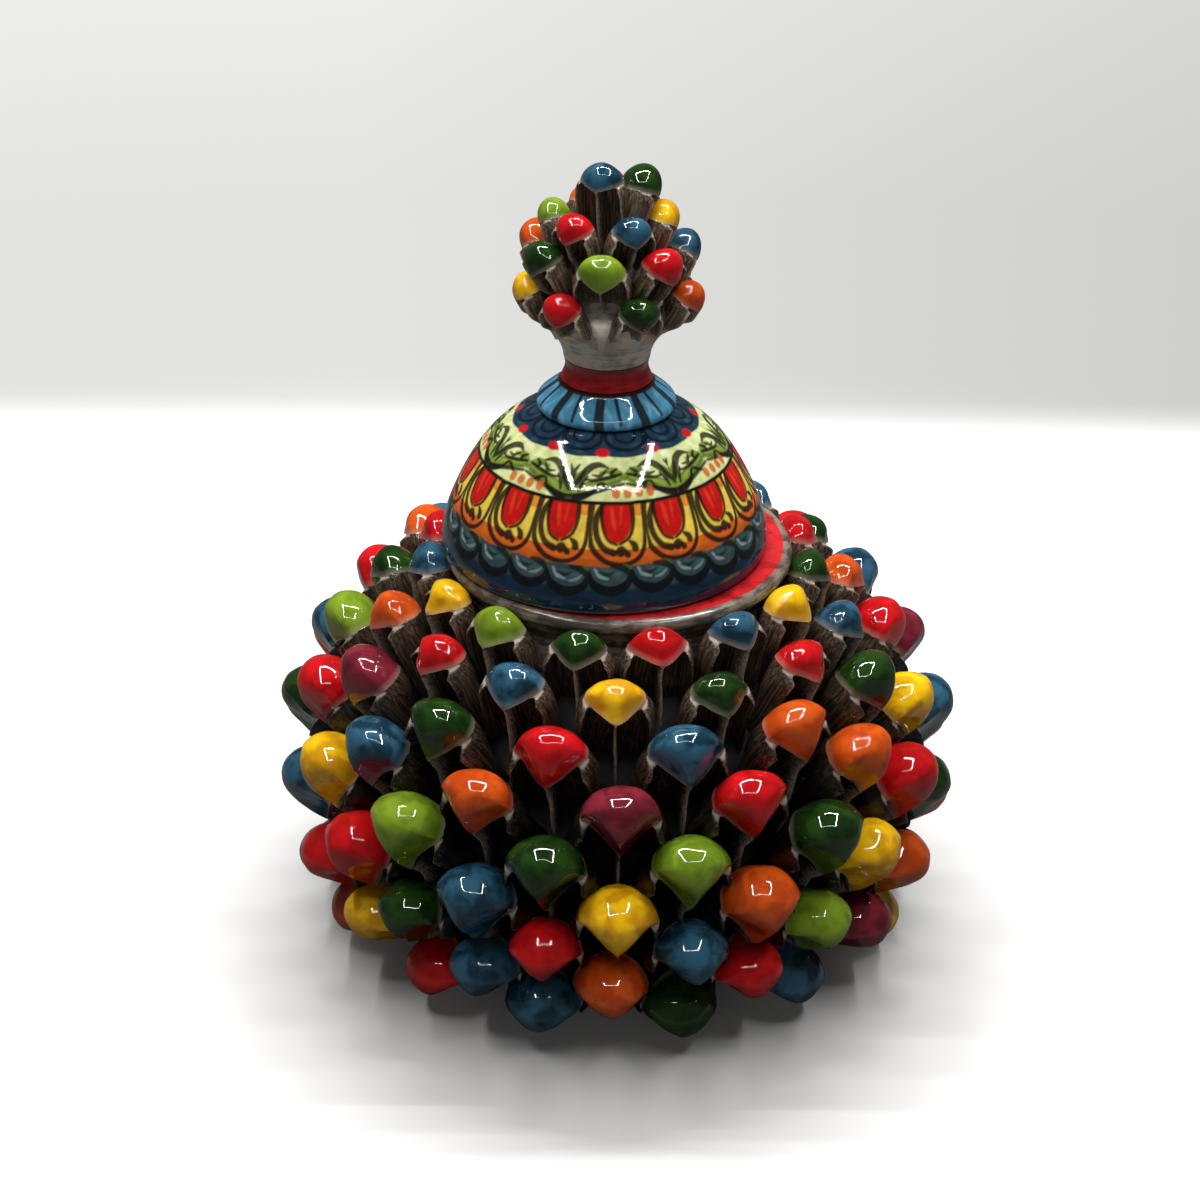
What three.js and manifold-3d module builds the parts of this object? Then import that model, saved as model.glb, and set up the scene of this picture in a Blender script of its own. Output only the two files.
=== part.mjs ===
// Sweet jar in the shape of a pine cone, in glazed ceramic: a thrown pot with nine rows of carved
// scales round it, and a domed lid with a small pine cone as its knob.
// Millimetres, +Z up, the front towards -Y, the origin in the middle of the face that it stands on.
import * as THREE from 'three';
import { mergeVertices } from 'three/addons/utils/BufferGeometryUtils.js';
import Module from 'manifold-3d';

const wasm = await Module();
wasm.setup();

// A point of a profile: its distance from the axis and its height.
const at = (radius, height) => new THREE.Vector2(radius, height);

// Driving dimensions
const GAP = 0.3;
const FOOT_RADIUS = 48;
const FOOT_HEIGHT = 8;
const FLOOR_THICKNESS = 7;
const MOUTH_RADIUS = 42;
const NECK_RADIUS = 47.5;
const LEDGE_RADIUS = 49;
const LEDGE_HEIGHT = 123.4;
const LIP_RADIUS = 51.3;
const LIP_BOTTOM = 117.5;
const JAR_FACETS = 30;
const LID_FACETS = 36;
const KNOB_FACETS = 28;

// The jar's scales stand on the wall, row by row from the mouth down, and end on a rounder outline.
const ROWS = 9;
const SCALES_PER_ROW = 15;
const SCALE_WIDTH = 22;
const ROOT_HEIGHT = 6.4;
const ROOT_DEPTH = 3;
const FIRST_ROW_BACK = 0.35;
const WALL_LINE = new THREE.SplineCurve([
  at(50.2, 100), at(67.5, 78.5), at(78, 54.5), at(74.5, 32.5), at(62.5, 18),
]);
const TIP_LINE = new THREE.SplineCurve([
  at(56.4, 124.4), at(81.8, 105), at(99.7, 78.2), at(101.6, 48), at(93.6, 20.5),
]);
const WIDEST_TIP = 104;

// The lid sits in a mouth that is wider than its flange, here pushed to the left.
const LID_PLAY = 4.3;
const LID_RADIUS = 48;
const LID_WALL = 5;
const FLANGE_RADIUS = 37.2;
const FLANGE_WALL = 4.5;
const FLANGE_DEPTH = 11;
const DOME_TOP = 166.8;
const COLLAR_RADIUS = 20.2;
const COLLAR_TOP = 175.7;
const NECK_TOP = 182.5;

// The knob is a pine cone too: rows of finger-like scales on a short core.
const KNOB_TOP_WIDTH = 12;
const KNOB_ROOT_HEIGHT = 5;
const KNOB_WALL = new THREE.LineCurve(at(17.2, 193.3), at(10.6, 210.5));
const KNOB_ROWS = [
  { count: 7, tip: at(25.8, 207.5), width: 13, turn: 0.4 },
  { count: 7, tip: at(24, 218.4), width: 13.4, turn: 0.87 },
  { count: 6, tip: at(17.6, 227.2), width: 12.4, turn: 0.39 },
];
const KNOB_TOP = [
  { angle: -112, tip: at(5.8, 240.5) },
  { angle: 0, tip: at(11, 238.4) },
  { angle: 100, tip: at(6.5, 236) },
];

// Half width, back and keel of a scale at its waist, across its glazed cap and where its tip closes,
// as shares of its width. The two flutes lie between the keel and the scale's edges.
const WAIST = [0.43, 0.2, 0.32];
const CAP = [0.5, 0.36, 0.5];
const SHOULDER = [0.31, 0.24, 0.27];
const WAIST_SHARE = 0.5;
const CAP_FROM_TIP = 0.34;
const SHOULDER_FROM_TIP = 0.08;
const FLUTE_SIDE = 0.45;
const FLUTE_DEPTH = 0.3;

const CLAY = new THREE.MeshStandardMaterial({ color: 0x2f261f, roughness: 0.25 });
const GREY_GLAZE = new THREE.MeshStandardMaterial({ color: 0x8a8074, roughness: 0.25 });
const RED_GLAZE = new THREE.MeshStandardMaterial({ color: 0x7a0d12, roughness: 0.15 });
const PAINTED_GLAZE = new THREE.MeshStandardMaterial({ color: 0xd8b23a, roughness: 0.12 });
const BLUE_GLAZE = new THREE.MeshStandardMaterial({ color: 0x5fa0c4, roughness: 0.12 });

// A turned piece: its profile runs up the outside and comes back to where it started.
function turned(profile, segments) {
  return new THREE.LatheGeometry(profile, segments).rotateX(Math.PI / 2);
}

// Welded mesh from a list of triangle corners
function meshOf(corners) {
  const geometry = mergeVertices(new THREE.BufferGeometry().setFromPoints(corners), 1e-3);
  geometry.computeVertexNormals();
  return geometry;
}

// Side faces from one ring of points to the next. Two equal points make no face between them.
function bridge(corners, ring, next, isOpen = () => false) {
  const face = (a, b, c) => {
    if (!a.equals(b) && !b.equals(c) && !c.equals(a)) corners.push(a, b, c);
  };
  for (let k = 0; k < ring.length; k += 1) {
    const after = (k + 1) % ring.length;
    if (!isOpen(k)) {
      face(ring[k], ring[after], next[k]);
      face(ring[after], next[after], next[k]);
    }
  }
}

// A ring of eight points round a scale's stem, at a distance along its axis. It has the rounded
// back on top and, underneath, a keel between the two flutes that the gouge cut.
function carvedRing({ root, tip, width, flatness = 1 }, along, [halfWidth, back, keel]) {
  const axis = tip.clone().sub(root).normalize();
  const up = at(-axis.y, axis.x);
  const middle = root.clone().addScaledVector(axis, along);
  const place = (side, rise) => new THREE.Vector3(
    middle.x + up.x * rise * width, side * width, middle.y + up.y * rise * width);
  const shoulderSide = Math.SQRT1_2 * halfWidth;
  const backRise = flatness * back;
  const shoulderRise = Math.SQRT1_2 * backRise;
  const fluteSide = FLUTE_SIDE * halfWidth;
  const fluteRise = -FLUTE_DEPTH * keel;
  return [
    place(halfWidth, 0), place(shoulderSide, shoulderRise), place(0, backRise),
    place(-shoulderSide, shoulderRise), place(-halfWidth, 0),
    place(-fluteSide, fluteRise), place(0, -keel), place(fluteSide, fluteRise),
  ];
}

// From its narrow waist a scale swells to its glazed cap and closes in a dome.
function addStem(corners, scale, startRing) {
  const length = scale.root.distanceTo(scale.tip);
  const waist = carvedRing(scale, WAIST_SHARE * length, WAIST);
  const cap = carvedRing(scale, length - CAP_FROM_TIP * scale.width, CAP);
  const shoulder = carvedRing(scale, length - SHOULDER_FROM_TIP * scale.width, SHOULDER);
  const end = new THREE.Vector3(scale.tip.x, 0, scale.tip.y);
  bridge(corners, startRing, waist);
  bridge(corners, waist, cap);
  bridge(corners, cap, shoulder);
  bridge(corners, shoulder, shoulder.map(() => end));
}

// A scale's root fills its whole share of the turn: a block whose two ends stay open, because the
// next scales' roots carry on from there.
function addRoot(corners, { root, outward, pitch, rootHeight }) {
  const wallUp = at(-outward.y, outward.x);
  const ringAt = (depth) => {
    const corner = (share, rise) => {
      const turn = share * pitch;
      const p = root.clone().addScaledVector(outward, depth);
      p.addScaledVector(wallUp, rise * rootHeight);
      return new THREE.Vector3(p.x * Math.cos(turn), p.x * Math.sin(turn), p.y);
    };
    const under = corner(0, -0.5);
    return [
      corner(0.5, -0.5), corner(0.5, 0.5), corner(0, 0.5), corner(-0.5, 0.5),
      corner(-0.5, -0.5), under, under, under,
    ];
  };
  const wallRing = ringAt(0);
  const frontRing = ringAt(ROOT_DEPTH);
  const isEnd = (k) => k === 0 || k === 3;
  bridge(corners, wallRing.map(() => wallRing[2]), wallRing);
  bridge(corners, wallRing, frontRing, isEnd);
  return frontRing;
}

// A row of scales as one closed ring
function scaleRow({ count, firstAngle, ...form }) {
  const scale = { pitch: 2 * Math.PI / count, ...form };
  const one = [];
  addStem(one, scale, addRoot(one, scale));
  const upright = new THREE.Vector3(0, 0, 1);
  const turns = Array.from({ length: count }, (_, k) => firstAngle + k * scale.pitch);
  return meshOf(turns.flatMap((turn) => one.map((p) => p.clone().applyAxisAngle(upright, turn))));
}

// Where a row stands: at a share of a wall's line, on the side away from the axis
function footing(line, share, standoff) {
  const tangent = line.getTangentAt(share);
  const outward = at(Math.abs(tangent.y), -tangent.x * Math.sign(tangent.y));
  return { root: line.getPointAt(share).addScaledVector(outward, standoff), outward };
}

const jar = new THREE.Group();
const lid = new THREE.Group();
lid.position.x = -LID_PLAY;

function add(group, name, geometry, material) {
  const mesh = new THREE.Mesh(geometry, material);
  mesh.name = name;
  group.add(mesh);
}

// Jar: foot, pot and mouth rim
function foot() {
  const bevel = 1.5;
  return turned([
    at(0, 0), at(FOOT_RADIUS - bevel, 0), at(FOOT_RADIUS, bevel),
    at(FOOT_RADIUS, FOOT_HEIGHT), at(0, FOOT_HEIGHT),
  ], JAR_FACETS);
}

function pot() {
  const bottom = FOOT_HEIGHT + GAP;
  const floor = bottom + FLOOR_THICKNESS;
  const top = LIP_BOTTOM - GAP;
  const wall = WALL_LINE.getSpacedPoints(7).reverse();
  const inside = new THREE.SplineCurve([
    at(MOUTH_RADIUS, 104), at(58, 80), at(71.5, 57), at(67.5, 33), at(46, floor),
  ]).getSpacedPoints(6);
  return turned([
    at(0, bottom), at(FOOT_RADIUS + 1, bottom), ...wall, at(NECK_RADIUS, 103),
    at(NECK_RADIUS, top), at(MOUTH_RADIUS, top), ...inside, at(0, floor),
  ], JAR_FACETS);
}

function mouthRim() {
  const rounding = 1.6;
  return turned([
    at(MOUTH_RADIUS, LIP_BOTTOM), at(NECK_RADIUS, LIP_BOTTOM), at(LIP_RADIUS - 0.5, 119.6),
    at(LIP_RADIUS, 121), at(LIP_RADIUS - 0.7, LEDGE_HEIGHT - 0.8), at(LEDGE_RADIUS, LEDGE_HEIGHT),
    at(MOUTH_RADIUS + rounding, LEDGE_HEIGHT), at(MOUTH_RADIUS, LEDGE_HEIGHT - rounding),
    at(MOUTH_RADIUS, LIP_BOTTOM),
  ], JAR_FACETS);
}

add(jar, 'foot', foot(), RED_GLAZE);
add(jar, 'pot', pot(), CLAY);
add(jar, 'mouth_rim', mouthRim(), GREY_GLAZE);

// Jar: the rows of scales. Their tips are evenly spaced, their roots crowd towards the foot.
const rootShare = (t) => t * (1.2 - 0.2 * t);
for (let row = 1; row <= ROWS; row += 1) {
  const t = (row - 1) / (ROWS - 1);
  const tip = TIP_LINE.getPointAt(t);
  const halfPitch = Math.PI / SCALES_PER_ROW;
  add(jar, `scale_row_${row}`, scaleRow({
    ...footing(WALL_LINE, rootShare(t), 2 * GAP),
    count: SCALES_PER_ROW,
    firstAngle: -Math.PI / 2 + (row % 2) * halfPitch,
    tip,
    width: SCALE_WIDTH * Math.sqrt(tip.x / WIDEST_TIP),
    flatness: row === 1 ? FIRST_ROW_BACK : 1,
    rootHeight: ROOT_HEIGHT,
  }), CLAY);
}

// Lid: dome with its flange, collar and neck
function dome() {
  const bottom = LEDGE_HEIGHT + GAP;
  const ceiling = bottom + LID_WALL;
  const inner = FLANGE_RADIUS - FLANGE_WALL;
  return turned([
    at(inner, bottom), at(LID_RADIUS - 1.4, bottom), at(LID_RADIUS, 126), at(LID_RADIUS, 128.5),
    at(46.4, 134), at(43.9, 140.5), at(40.4, 147.5), at(36.2, 154), at(31, 159.6),
    at(25.2, 163.8), at(19, DOME_TOP), at(0, DOME_TOP),
    at(0, 160.5), at(18, 159), at(29.5, 152.5), at(37.6, 140), at(40.6, 132),
    at(39.5, ceiling), at(inner, ceiling), at(inner, bottom),
  ], LID_FACETS);
}

function flange() {
  const bottom = LEDGE_HEIGHT - FLANGE_DEPTH;
  const inner = FLANGE_RADIUS - FLANGE_WALL;
  return turned([
    at(inner, bottom), at(FLANGE_RADIUS - 1, bottom), at(FLANGE_RADIUS, bottom + 1.5),
    at(FLANGE_RADIUS, LEDGE_HEIGHT), at(inner, LEDGE_HEIGHT), at(inner, bottom),
  ], LID_FACETS);
}

function collar() {
  const bottom = DOME_TOP + GAP;
  return turned([
    at(0, bottom), at(COLLAR_RADIUS - 0.8, bottom), at(COLLAR_RADIUS, bottom + 0.8),
    at(19.8, 169.8), at(17.2, 172.2), at(14.4, 174.4), at(13.4, COLLAR_TOP), at(0, COLLAR_TOP),
  ], LID_FACETS);
}

function neck() {
  const bottom = COLLAR_TOP + GAP;
  return turned([
    at(0, bottom), at(13.2, bottom), at(12.2, 177.6), at(11.8, 179.5), at(12, 181),
    at(12.6, NECK_TOP), at(0, NECK_TOP),
  ], KNOB_FACETS);
}

add(lid, 'lid_dome', dome(), PAINTED_GLAZE);
add(lid, 'lid_flange', flange(), GREY_GLAZE);
add(lid, 'lid_collar', collar(), BLUE_GLAZE);
add(lid, 'lid_neck', neck(), RED_GLAZE);

// Knob: core, rows of scales, and three scales upright on top
function knobCore() {
  const bottom = NECK_TOP + GAP;
  return turned([
    at(0, bottom), at(12.4, bottom), at(13.8, 184.4), at(16.8, 186.8), at(20, 190),
    at(17.2, 190.6), ...KNOB_WALL.getPoints(1), at(0, 213),
  ], KNOB_FACETS);
}

function knobTop() {
  const fingers = KNOB_TOP.map(({ angle, tip }) => {
    const scale = { root: at(2, 214.5), tip, width: KNOB_TOP_WIDTH };
    const startRing = carvedRing(scale, 0, WAIST);
    const corners = [];
    bridge(corners, startRing.map(() => startRing[2]), startRing);
    addStem(corners, scale, startRing);
    const geometry = meshOf(corners).rotateZ(THREE.MathUtils.degToRad(angle));
    return new wasm.Manifold(new wasm.Mesh({
      numProp: 3,
      vertProperties: geometry.attributes.position.array,
      triVerts: geometry.index.array,
    }));
  });
  const joined = fingers.reduce((sum, finger) => sum.add(finger)).getMesh();
  const geometry = new THREE.BufferGeometry();
  geometry.setAttribute('position', new THREE.BufferAttribute(joined.vertProperties, 3));
  geometry.setIndex(new THREE.BufferAttribute(joined.triVerts, 1));
  geometry.computeVertexNormals();
  return geometry;
}

add(lid, 'finial_core', knobCore(), GREY_GLAZE);
KNOB_ROWS.forEach(({ count, tip, width, turn }, k) => {
  add(lid, `finial_row_${k + 1}`, scaleRow({
    ...footing(KNOB_WALL, k / (KNOB_ROWS.length - 1), 2 * GAP),
    count,
    firstAngle: -Math.PI / 2 + turn * 2 * Math.PI / count,
    tip,
    width,
    rootHeight: KNOB_ROOT_HEIGHT,
  }), CLAY);
});
add(lid, 'finial_top', knobTop(), CLAY);

const sweetJar = new THREE.Group();
sweetJar.add(jar, lid);
export default sweetJar;
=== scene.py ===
# %% [markdown]
# # A pine-cone sweet jar in glazed ceramic
# The real jar is hand made: a thrown pot whose wall carries nine rows of carved scales, and a
# domed lid, painted in bands, with a small pine cone as its knob. This notebook dresses the
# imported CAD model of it. Everything is in the CAD model's own frame, so each piece is made exactly
# where its CAD node is, and then says which body carries it. The jar's sizes are written in
# millimetres and turned to metres as a mesh is made, and the stage round it is in metres.

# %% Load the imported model
import math
import bpy
import numpy as np
from mathutils import Matrix


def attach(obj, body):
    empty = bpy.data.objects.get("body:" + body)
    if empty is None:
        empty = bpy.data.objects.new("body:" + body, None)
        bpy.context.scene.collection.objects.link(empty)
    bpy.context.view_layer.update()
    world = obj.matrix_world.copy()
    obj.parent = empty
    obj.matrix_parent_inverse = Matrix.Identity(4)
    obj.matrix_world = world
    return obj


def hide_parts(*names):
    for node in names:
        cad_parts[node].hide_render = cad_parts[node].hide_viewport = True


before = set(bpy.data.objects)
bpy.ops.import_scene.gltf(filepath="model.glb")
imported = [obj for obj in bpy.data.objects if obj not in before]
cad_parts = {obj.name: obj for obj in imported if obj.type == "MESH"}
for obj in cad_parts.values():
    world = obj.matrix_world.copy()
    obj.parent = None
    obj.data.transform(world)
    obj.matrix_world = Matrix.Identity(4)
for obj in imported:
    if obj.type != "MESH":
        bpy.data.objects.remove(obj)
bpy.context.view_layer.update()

MM = 0.001

# %% [markdown]
# ## The camera
# The photograph was taken a little from above, so the camera is set by its place, its pitch and
# its lens. It could be aimed with a constraint, but a fixed matrix leaves no doubt about the view.
# The place is in metres, the pitch and the roll are in degrees, and the lens is in millimetres.

# %% Camera at the photograph's angle
CAMERA_PLACE = (-0.0054, -0.647, 0.4558)
CAMERA_PITCH = 28.62
CAMERA_ROLL = 0.7
CAMERA_LENS = 73.62
SENSOR_WIDTH = 36
camera_data = bpy.data.cameras.new("camera")
camera_data.sensor_width = SENSOR_WIDTH
camera_data.lens = CAMERA_LENS
camera = bpy.data.objects.new("camera", camera_data)
camera.matrix_world = (
    Matrix.Translation(CAMERA_PLACE)
    @ Matrix.Rotation(math.radians(90 - CAMERA_PITCH), 4, "X")
    @ Matrix.Rotation(math.radians(CAMERA_ROLL), 4, "Z")
)
bpy.context.collection.objects.link(camera)
bpy.context.scene.camera = camera
print(f"camera {math.dist(CAMERA_PLACE, (0, 0, 0)):.2f} m from the jar's foot, {CAMERA_PITCH} degrees down")

# %% [markdown]
# ## Small helpers
# Colours are written as sRGB hex values, as a painter's chart has them, but nodes work with
# linear light, so one function turns the one into the other. A second one adds a node to any
# node tree: its settings are keywords, and its inputs are plain values or other nodes' sockets.
# A third keeps a value for every vertex of a mesh, which a node can read by its name.

# %% Colour, node and attribute helpers
def linear(hex_colour):
    """The linear RGBA numbers of an sRGB hex colour."""
    channels = [int(hex_colour[i:i + 2], 16) / 255 for i in (1, 3, 5)]
    return [c / 12.92 if c <= 0.04045 else ((c + 0.055) / 1.055) ** 2.4 for c in channels] + [1.0]


def add(tree, kind, inputs=None, **settings):
    """Adds one node. Inputs go by name or number; a socket is linked and a value is set."""
    node = tree.nodes.new(kind)
    for name, value in settings.items():
        setattr(node, name, value)
    for key, value in (inputs or {}).items():
        if isinstance(value, bpy.types.NodeSocket):
            tree.links.new(value, node.inputs[key])
        else:
            node.inputs[key].default_value = value
    return node


def new_material(name):
    """A new material, its node tree and its shader."""
    material = bpy.data.materials.new(name)
    material.use_nodes = True
    return material, material.node_tree, material.node_tree.nodes["Principled BSDF"]


ATTRIBUTE_FIELDS = {"FLOAT": "value", "FLOAT_VECTOR": "vector", "FLOAT_COLOR": "color"}


def keep(mesh, name, kind, values):
    """Keeps a value for every vertex of a mesh, as an attribute of the given kind."""
    mesh.attributes.new(name, kind, "POINT").data.foreach_set(ATTRIBUTE_FIELDS[kind], np.ravel(values))


# %% [markdown]
# ## Lines and turned pieces
# Pot, rim, foot and lid were turned, so each is a profile spun about its axis. Blender's Screw
# modifier could do it, but a loop over rings lets one mesh carry several finishes, each from its
# own step of the profile, and closes the poles with clean triangles.

# %% Helpers for profiles and turned pieces
SPAN_STEPS = 40
SHARP_ANGLE = 50


def run_along(line):
    """How far along a line each of its points is."""
    return np.concatenate([[0], np.cumsum(np.linalg.norm(np.diff(line, axis=0), axis=1))])


def smooth_line(points, count):
    """Evenly spaced points on a smooth line (a Catmull-Rom spline) through the given ones."""
    p = np.array(points, float)
    p = np.vstack([p[0], p, p[-1]])
    t = np.linspace(0, 1, SPAN_STEPS, endpoint=False)[:, None]
    spans = []
    for a, b, c, d in zip(p, p[1:], p[2:], p[3:]):
        square = 2 * a - 5 * b + 4 * c - d
        cube = 3 * b - a - 3 * c + d
        spans.append(0.5 * (2 * b + (c - a) * t + square * t**2 + cube * t**3))
    fine = np.vstack(spans + [p[-1:]])
    run = run_along(fine)
    wanted = np.linspace(0, run[-1], count)
    return np.column_stack([np.interp(wanted, run, fine[:, k]) for k in (0, 1)])


def link_object(name, mesh):
    """An object for a finished mesh, smooth apart from its sharp corners."""
    mesh.shade_smooth()
    mesh.set_sharp_from_angle(angle=math.radians(SHARP_ANGLE))
    piece = bpy.data.objects.new(name, mesh)
    bpy.context.collection.objects.link(piece)
    return piece


def turned(name, profile, sides, finishes, borders=(), centre=0.0, closed=False):
    """A turned piece. The profile, in mm, runs up the outside and down the inside.

    Each number in borders is the step of the profile from which the next finish covers it.
    """
    profile = np.array(profile, float)
    turn = np.arange(sides) * 2 * math.pi / sides
    vertices, rings = [], []
    for radius, height in profile:
        if radius < 1e-6:
            rings.append([len(vertices)] * sides)
            vertices.append((centre * MM, 0, height * MM))
        else:
            rings.append(list(range(len(vertices), len(vertices) + sides)))
            for a in turn:
                x = centre + radius * math.cos(a)
                vertices.append((x * MM, radius * math.sin(a) * MM, height * MM))
    faces = []
    for low, high in zip(rings, rings[1:] + rings[:1] if closed else rings[1:]):
        for j in range(sides):
            k = (j + 1) % sides
            corners = dict.fromkeys((low[j], low[k], high[k], high[j]))
            faces.append(tuple(corners))
    mesh = bpy.data.meshes.new(name)
    mesh.from_pydata(vertices, [], faces)
    for finish in finishes:
        mesh.materials.append(finish)
    step = np.arange(len(faces)) // sides
    finish_number = np.searchsorted(borders, step, side="right").astype(np.int32)
    mesh.polygons.foreach_set("material_index", finish_number)
    return link_object(name, mesh)


def hand_over(piece, node, body):
    """Lets a finished piece stand for its CAD node, on its body."""
    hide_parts(node)
    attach(piece, body)
    print(f"{piece.name}: {len(piece.data.polygons)} faces, for {node}")


# %% [markdown]
# ## The jar's outline
# Each row of scales stands on the pot's wall and ends on a rounder outline further out. Both are
# lines through a few measured points, as radius and height, and steps along them give every row
# its place. The steps get shorter towards the foot, where the rows crowd together. The lists hold
# one number for each row, from the mouth down. Widths and feet are in millimetres, and corners,
# points, beaks and backs are shares of the cap's width, which the next step explains.

# %% Rows of scales: where they stand and where they end
SCALES_PER_ROW = 15
CAP_WIDTHS = [18.0, 18.4, 21.5, 22.0, 22.3, 22.5, 21.0, 21.0, 21.5]
CAP_CORNERS = [0.3, 0.3, 0.42, 0.5, 0.55, 0.58, 0.55, 0.55, 0.55]
CAP_POINTS = [0.36, 0.36, 0.58, 0.78, 0.93, 1.0, 1.0, 0.95, 0.95]
CAP_BEAKS = [0.06, 0.06, 0.03, 0.02, 0.08, 0.14, 0.14, 0.14, 0.14]
CAP_BACKS = [0.32, 0.38, 0.38, 0.4, 0.43, 0.44, 0.42, 0.4, 0.4]
CAP_CREASES = [0.5, 0.55, 0.8, 1.0, 1.0, 1.0, 1.0, 1.0, 1.0]
STEM_FEET = [2.5, 3.5, 4.5, 4.5, 3.0, 1.0, 0.0, 0.0, 0.0]
WALL_LINE = [(50.2, 100), (67.5, 78.5), (78, 54.5), (74.5, 32.5), (62.5, 18)]
TIP_LINE = [(57.6, 123.4), (84.4, 103.8), (101, 75.8), (102.9, 42), (94.8, 15)]
LINE_STEPS = 201
ROOT_CROWDING = 0.2
TIP_CROWDING = 0.17
wall = smooth_line(WALL_LINE, LINE_STEPS)
tips = smooth_line(TIP_LINE, LINE_STEPS)


def row_place(row):
    """Root and tip of a row of scales, as radius and height in mm."""
    t = (row - 1) / (len(CAP_WIDTHS) - 1)
    root = wall[round(t * (1 + ROOT_CROWDING - ROOT_CROWDING * t) * (LINE_STEPS - 1))]
    tip = tips[round(t * (1 + TIP_CROWDING * t * (1 - t)) * (LINE_STEPS - 1))]
    return root, tip


for row, width in enumerate(CAP_WIDTHS, 1):
    root, tip = row_place(row)
    print(f"row {row}: root {root.round(1)}, tip {tip.round(1)}, caps {width:.1f} mm wide")

# %% [markdown]
# ## One carved scale
# The maker rolls a finger of clay, rounds its tip and cuts two flutes into its front with a
# gouge. Between the flutes a thin keel stays, and above them the glazed cap with its pointed
# lower edge. A sculpted mesh could show this, but the shape follows a rule: rings round the
# stem, each bent to run along the cap's edge, so that the edge itself stays crisp.

# %% Places across and along a scale
FRONT_STEPS = 36
BACK_STEPS = 18
CAP_RINGS = 16
STEP_RINGS = 4
STEM_RINGS = 18


def ease(value, low, high):
    """0 below low, 1 above high and a smooth step between, on arrays."""
    t = np.clip((value - low) / (high - low), 0, 1)
    return t * t * (3 - 2 * t)


def scale_section():
    """Places across a scale, from -1 to 1, for the front and then the back of a ring.

    They stand closest at the middle of the front, where the keel is, and at its sides.
    """
    v = np.linspace(-1, 1, FRONT_STEPS + 1)
    front = np.sign(v) * (0.35 * abs(v) + 0.65 * ease(abs(v), 0, 1))
    back = np.cos(np.linspace(0, math.pi, BACK_STEPS + 1)[1:-1])
    return np.concatenate([front, back]), np.concatenate([np.ones(front.size), np.zeros(back.size)])


def scale_rings(edge, step, length):
    """How far below the tip each vertex lies: over the cap, down the step and along the stem."""
    cap, ledge, stem = (np.arange(1, n + 1)[:, None] / n for n in (CAP_RINGS, STEP_RINGS, STEM_RINGS))
    return np.vstack([
        edge * (1 - np.cos(cap * math.pi / 2)),
        edge + step * ledge,
        edge + step + (length - edge - step) * stem,
    ])


def scale_faces(rings, around):
    """Faces round a tip vertex, between the rings after it, and across the root."""
    faces = [(0, 1 + j, 1 + (j + 1) % around) for j in range(around)]
    for ring in range(rings - 1):
        start = 1 + ring * around
        for j in range(around):
            n = (j + 1) % around
            faces.append((start + j, start + around + j, start + around + n, start + n))
    last = 1 + (rings - 1) * around
    faces.append(tuple(last + j for j in reversed(range(around))))
    return faces


# %% Mesh of one carved scale
# These are shares of the cap's width: the step in under the cap's edge, the flare of the stem's
# sides, how far the keel stands out, how deep the flutes go and how far their rims stand out.
CAP_STEP = 0.09
STEM_FLARE = 0.09
KEEL_RISE = 0.4
FLUTE_SINK = 0.04
RIM_RISE = 0.3
# These are shares of the way from the middle of the front to its side, which is 1.
KEEL_SPREAD = 0.1
# The keel's pale line, partly rubbed clay and partly a painted highlight, is this wide.
KEEL_GLINT_SPREAD = 0.08
FLUTE_MIDDLE = 0.52
RIM_MIDDLE = 0.88


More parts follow.
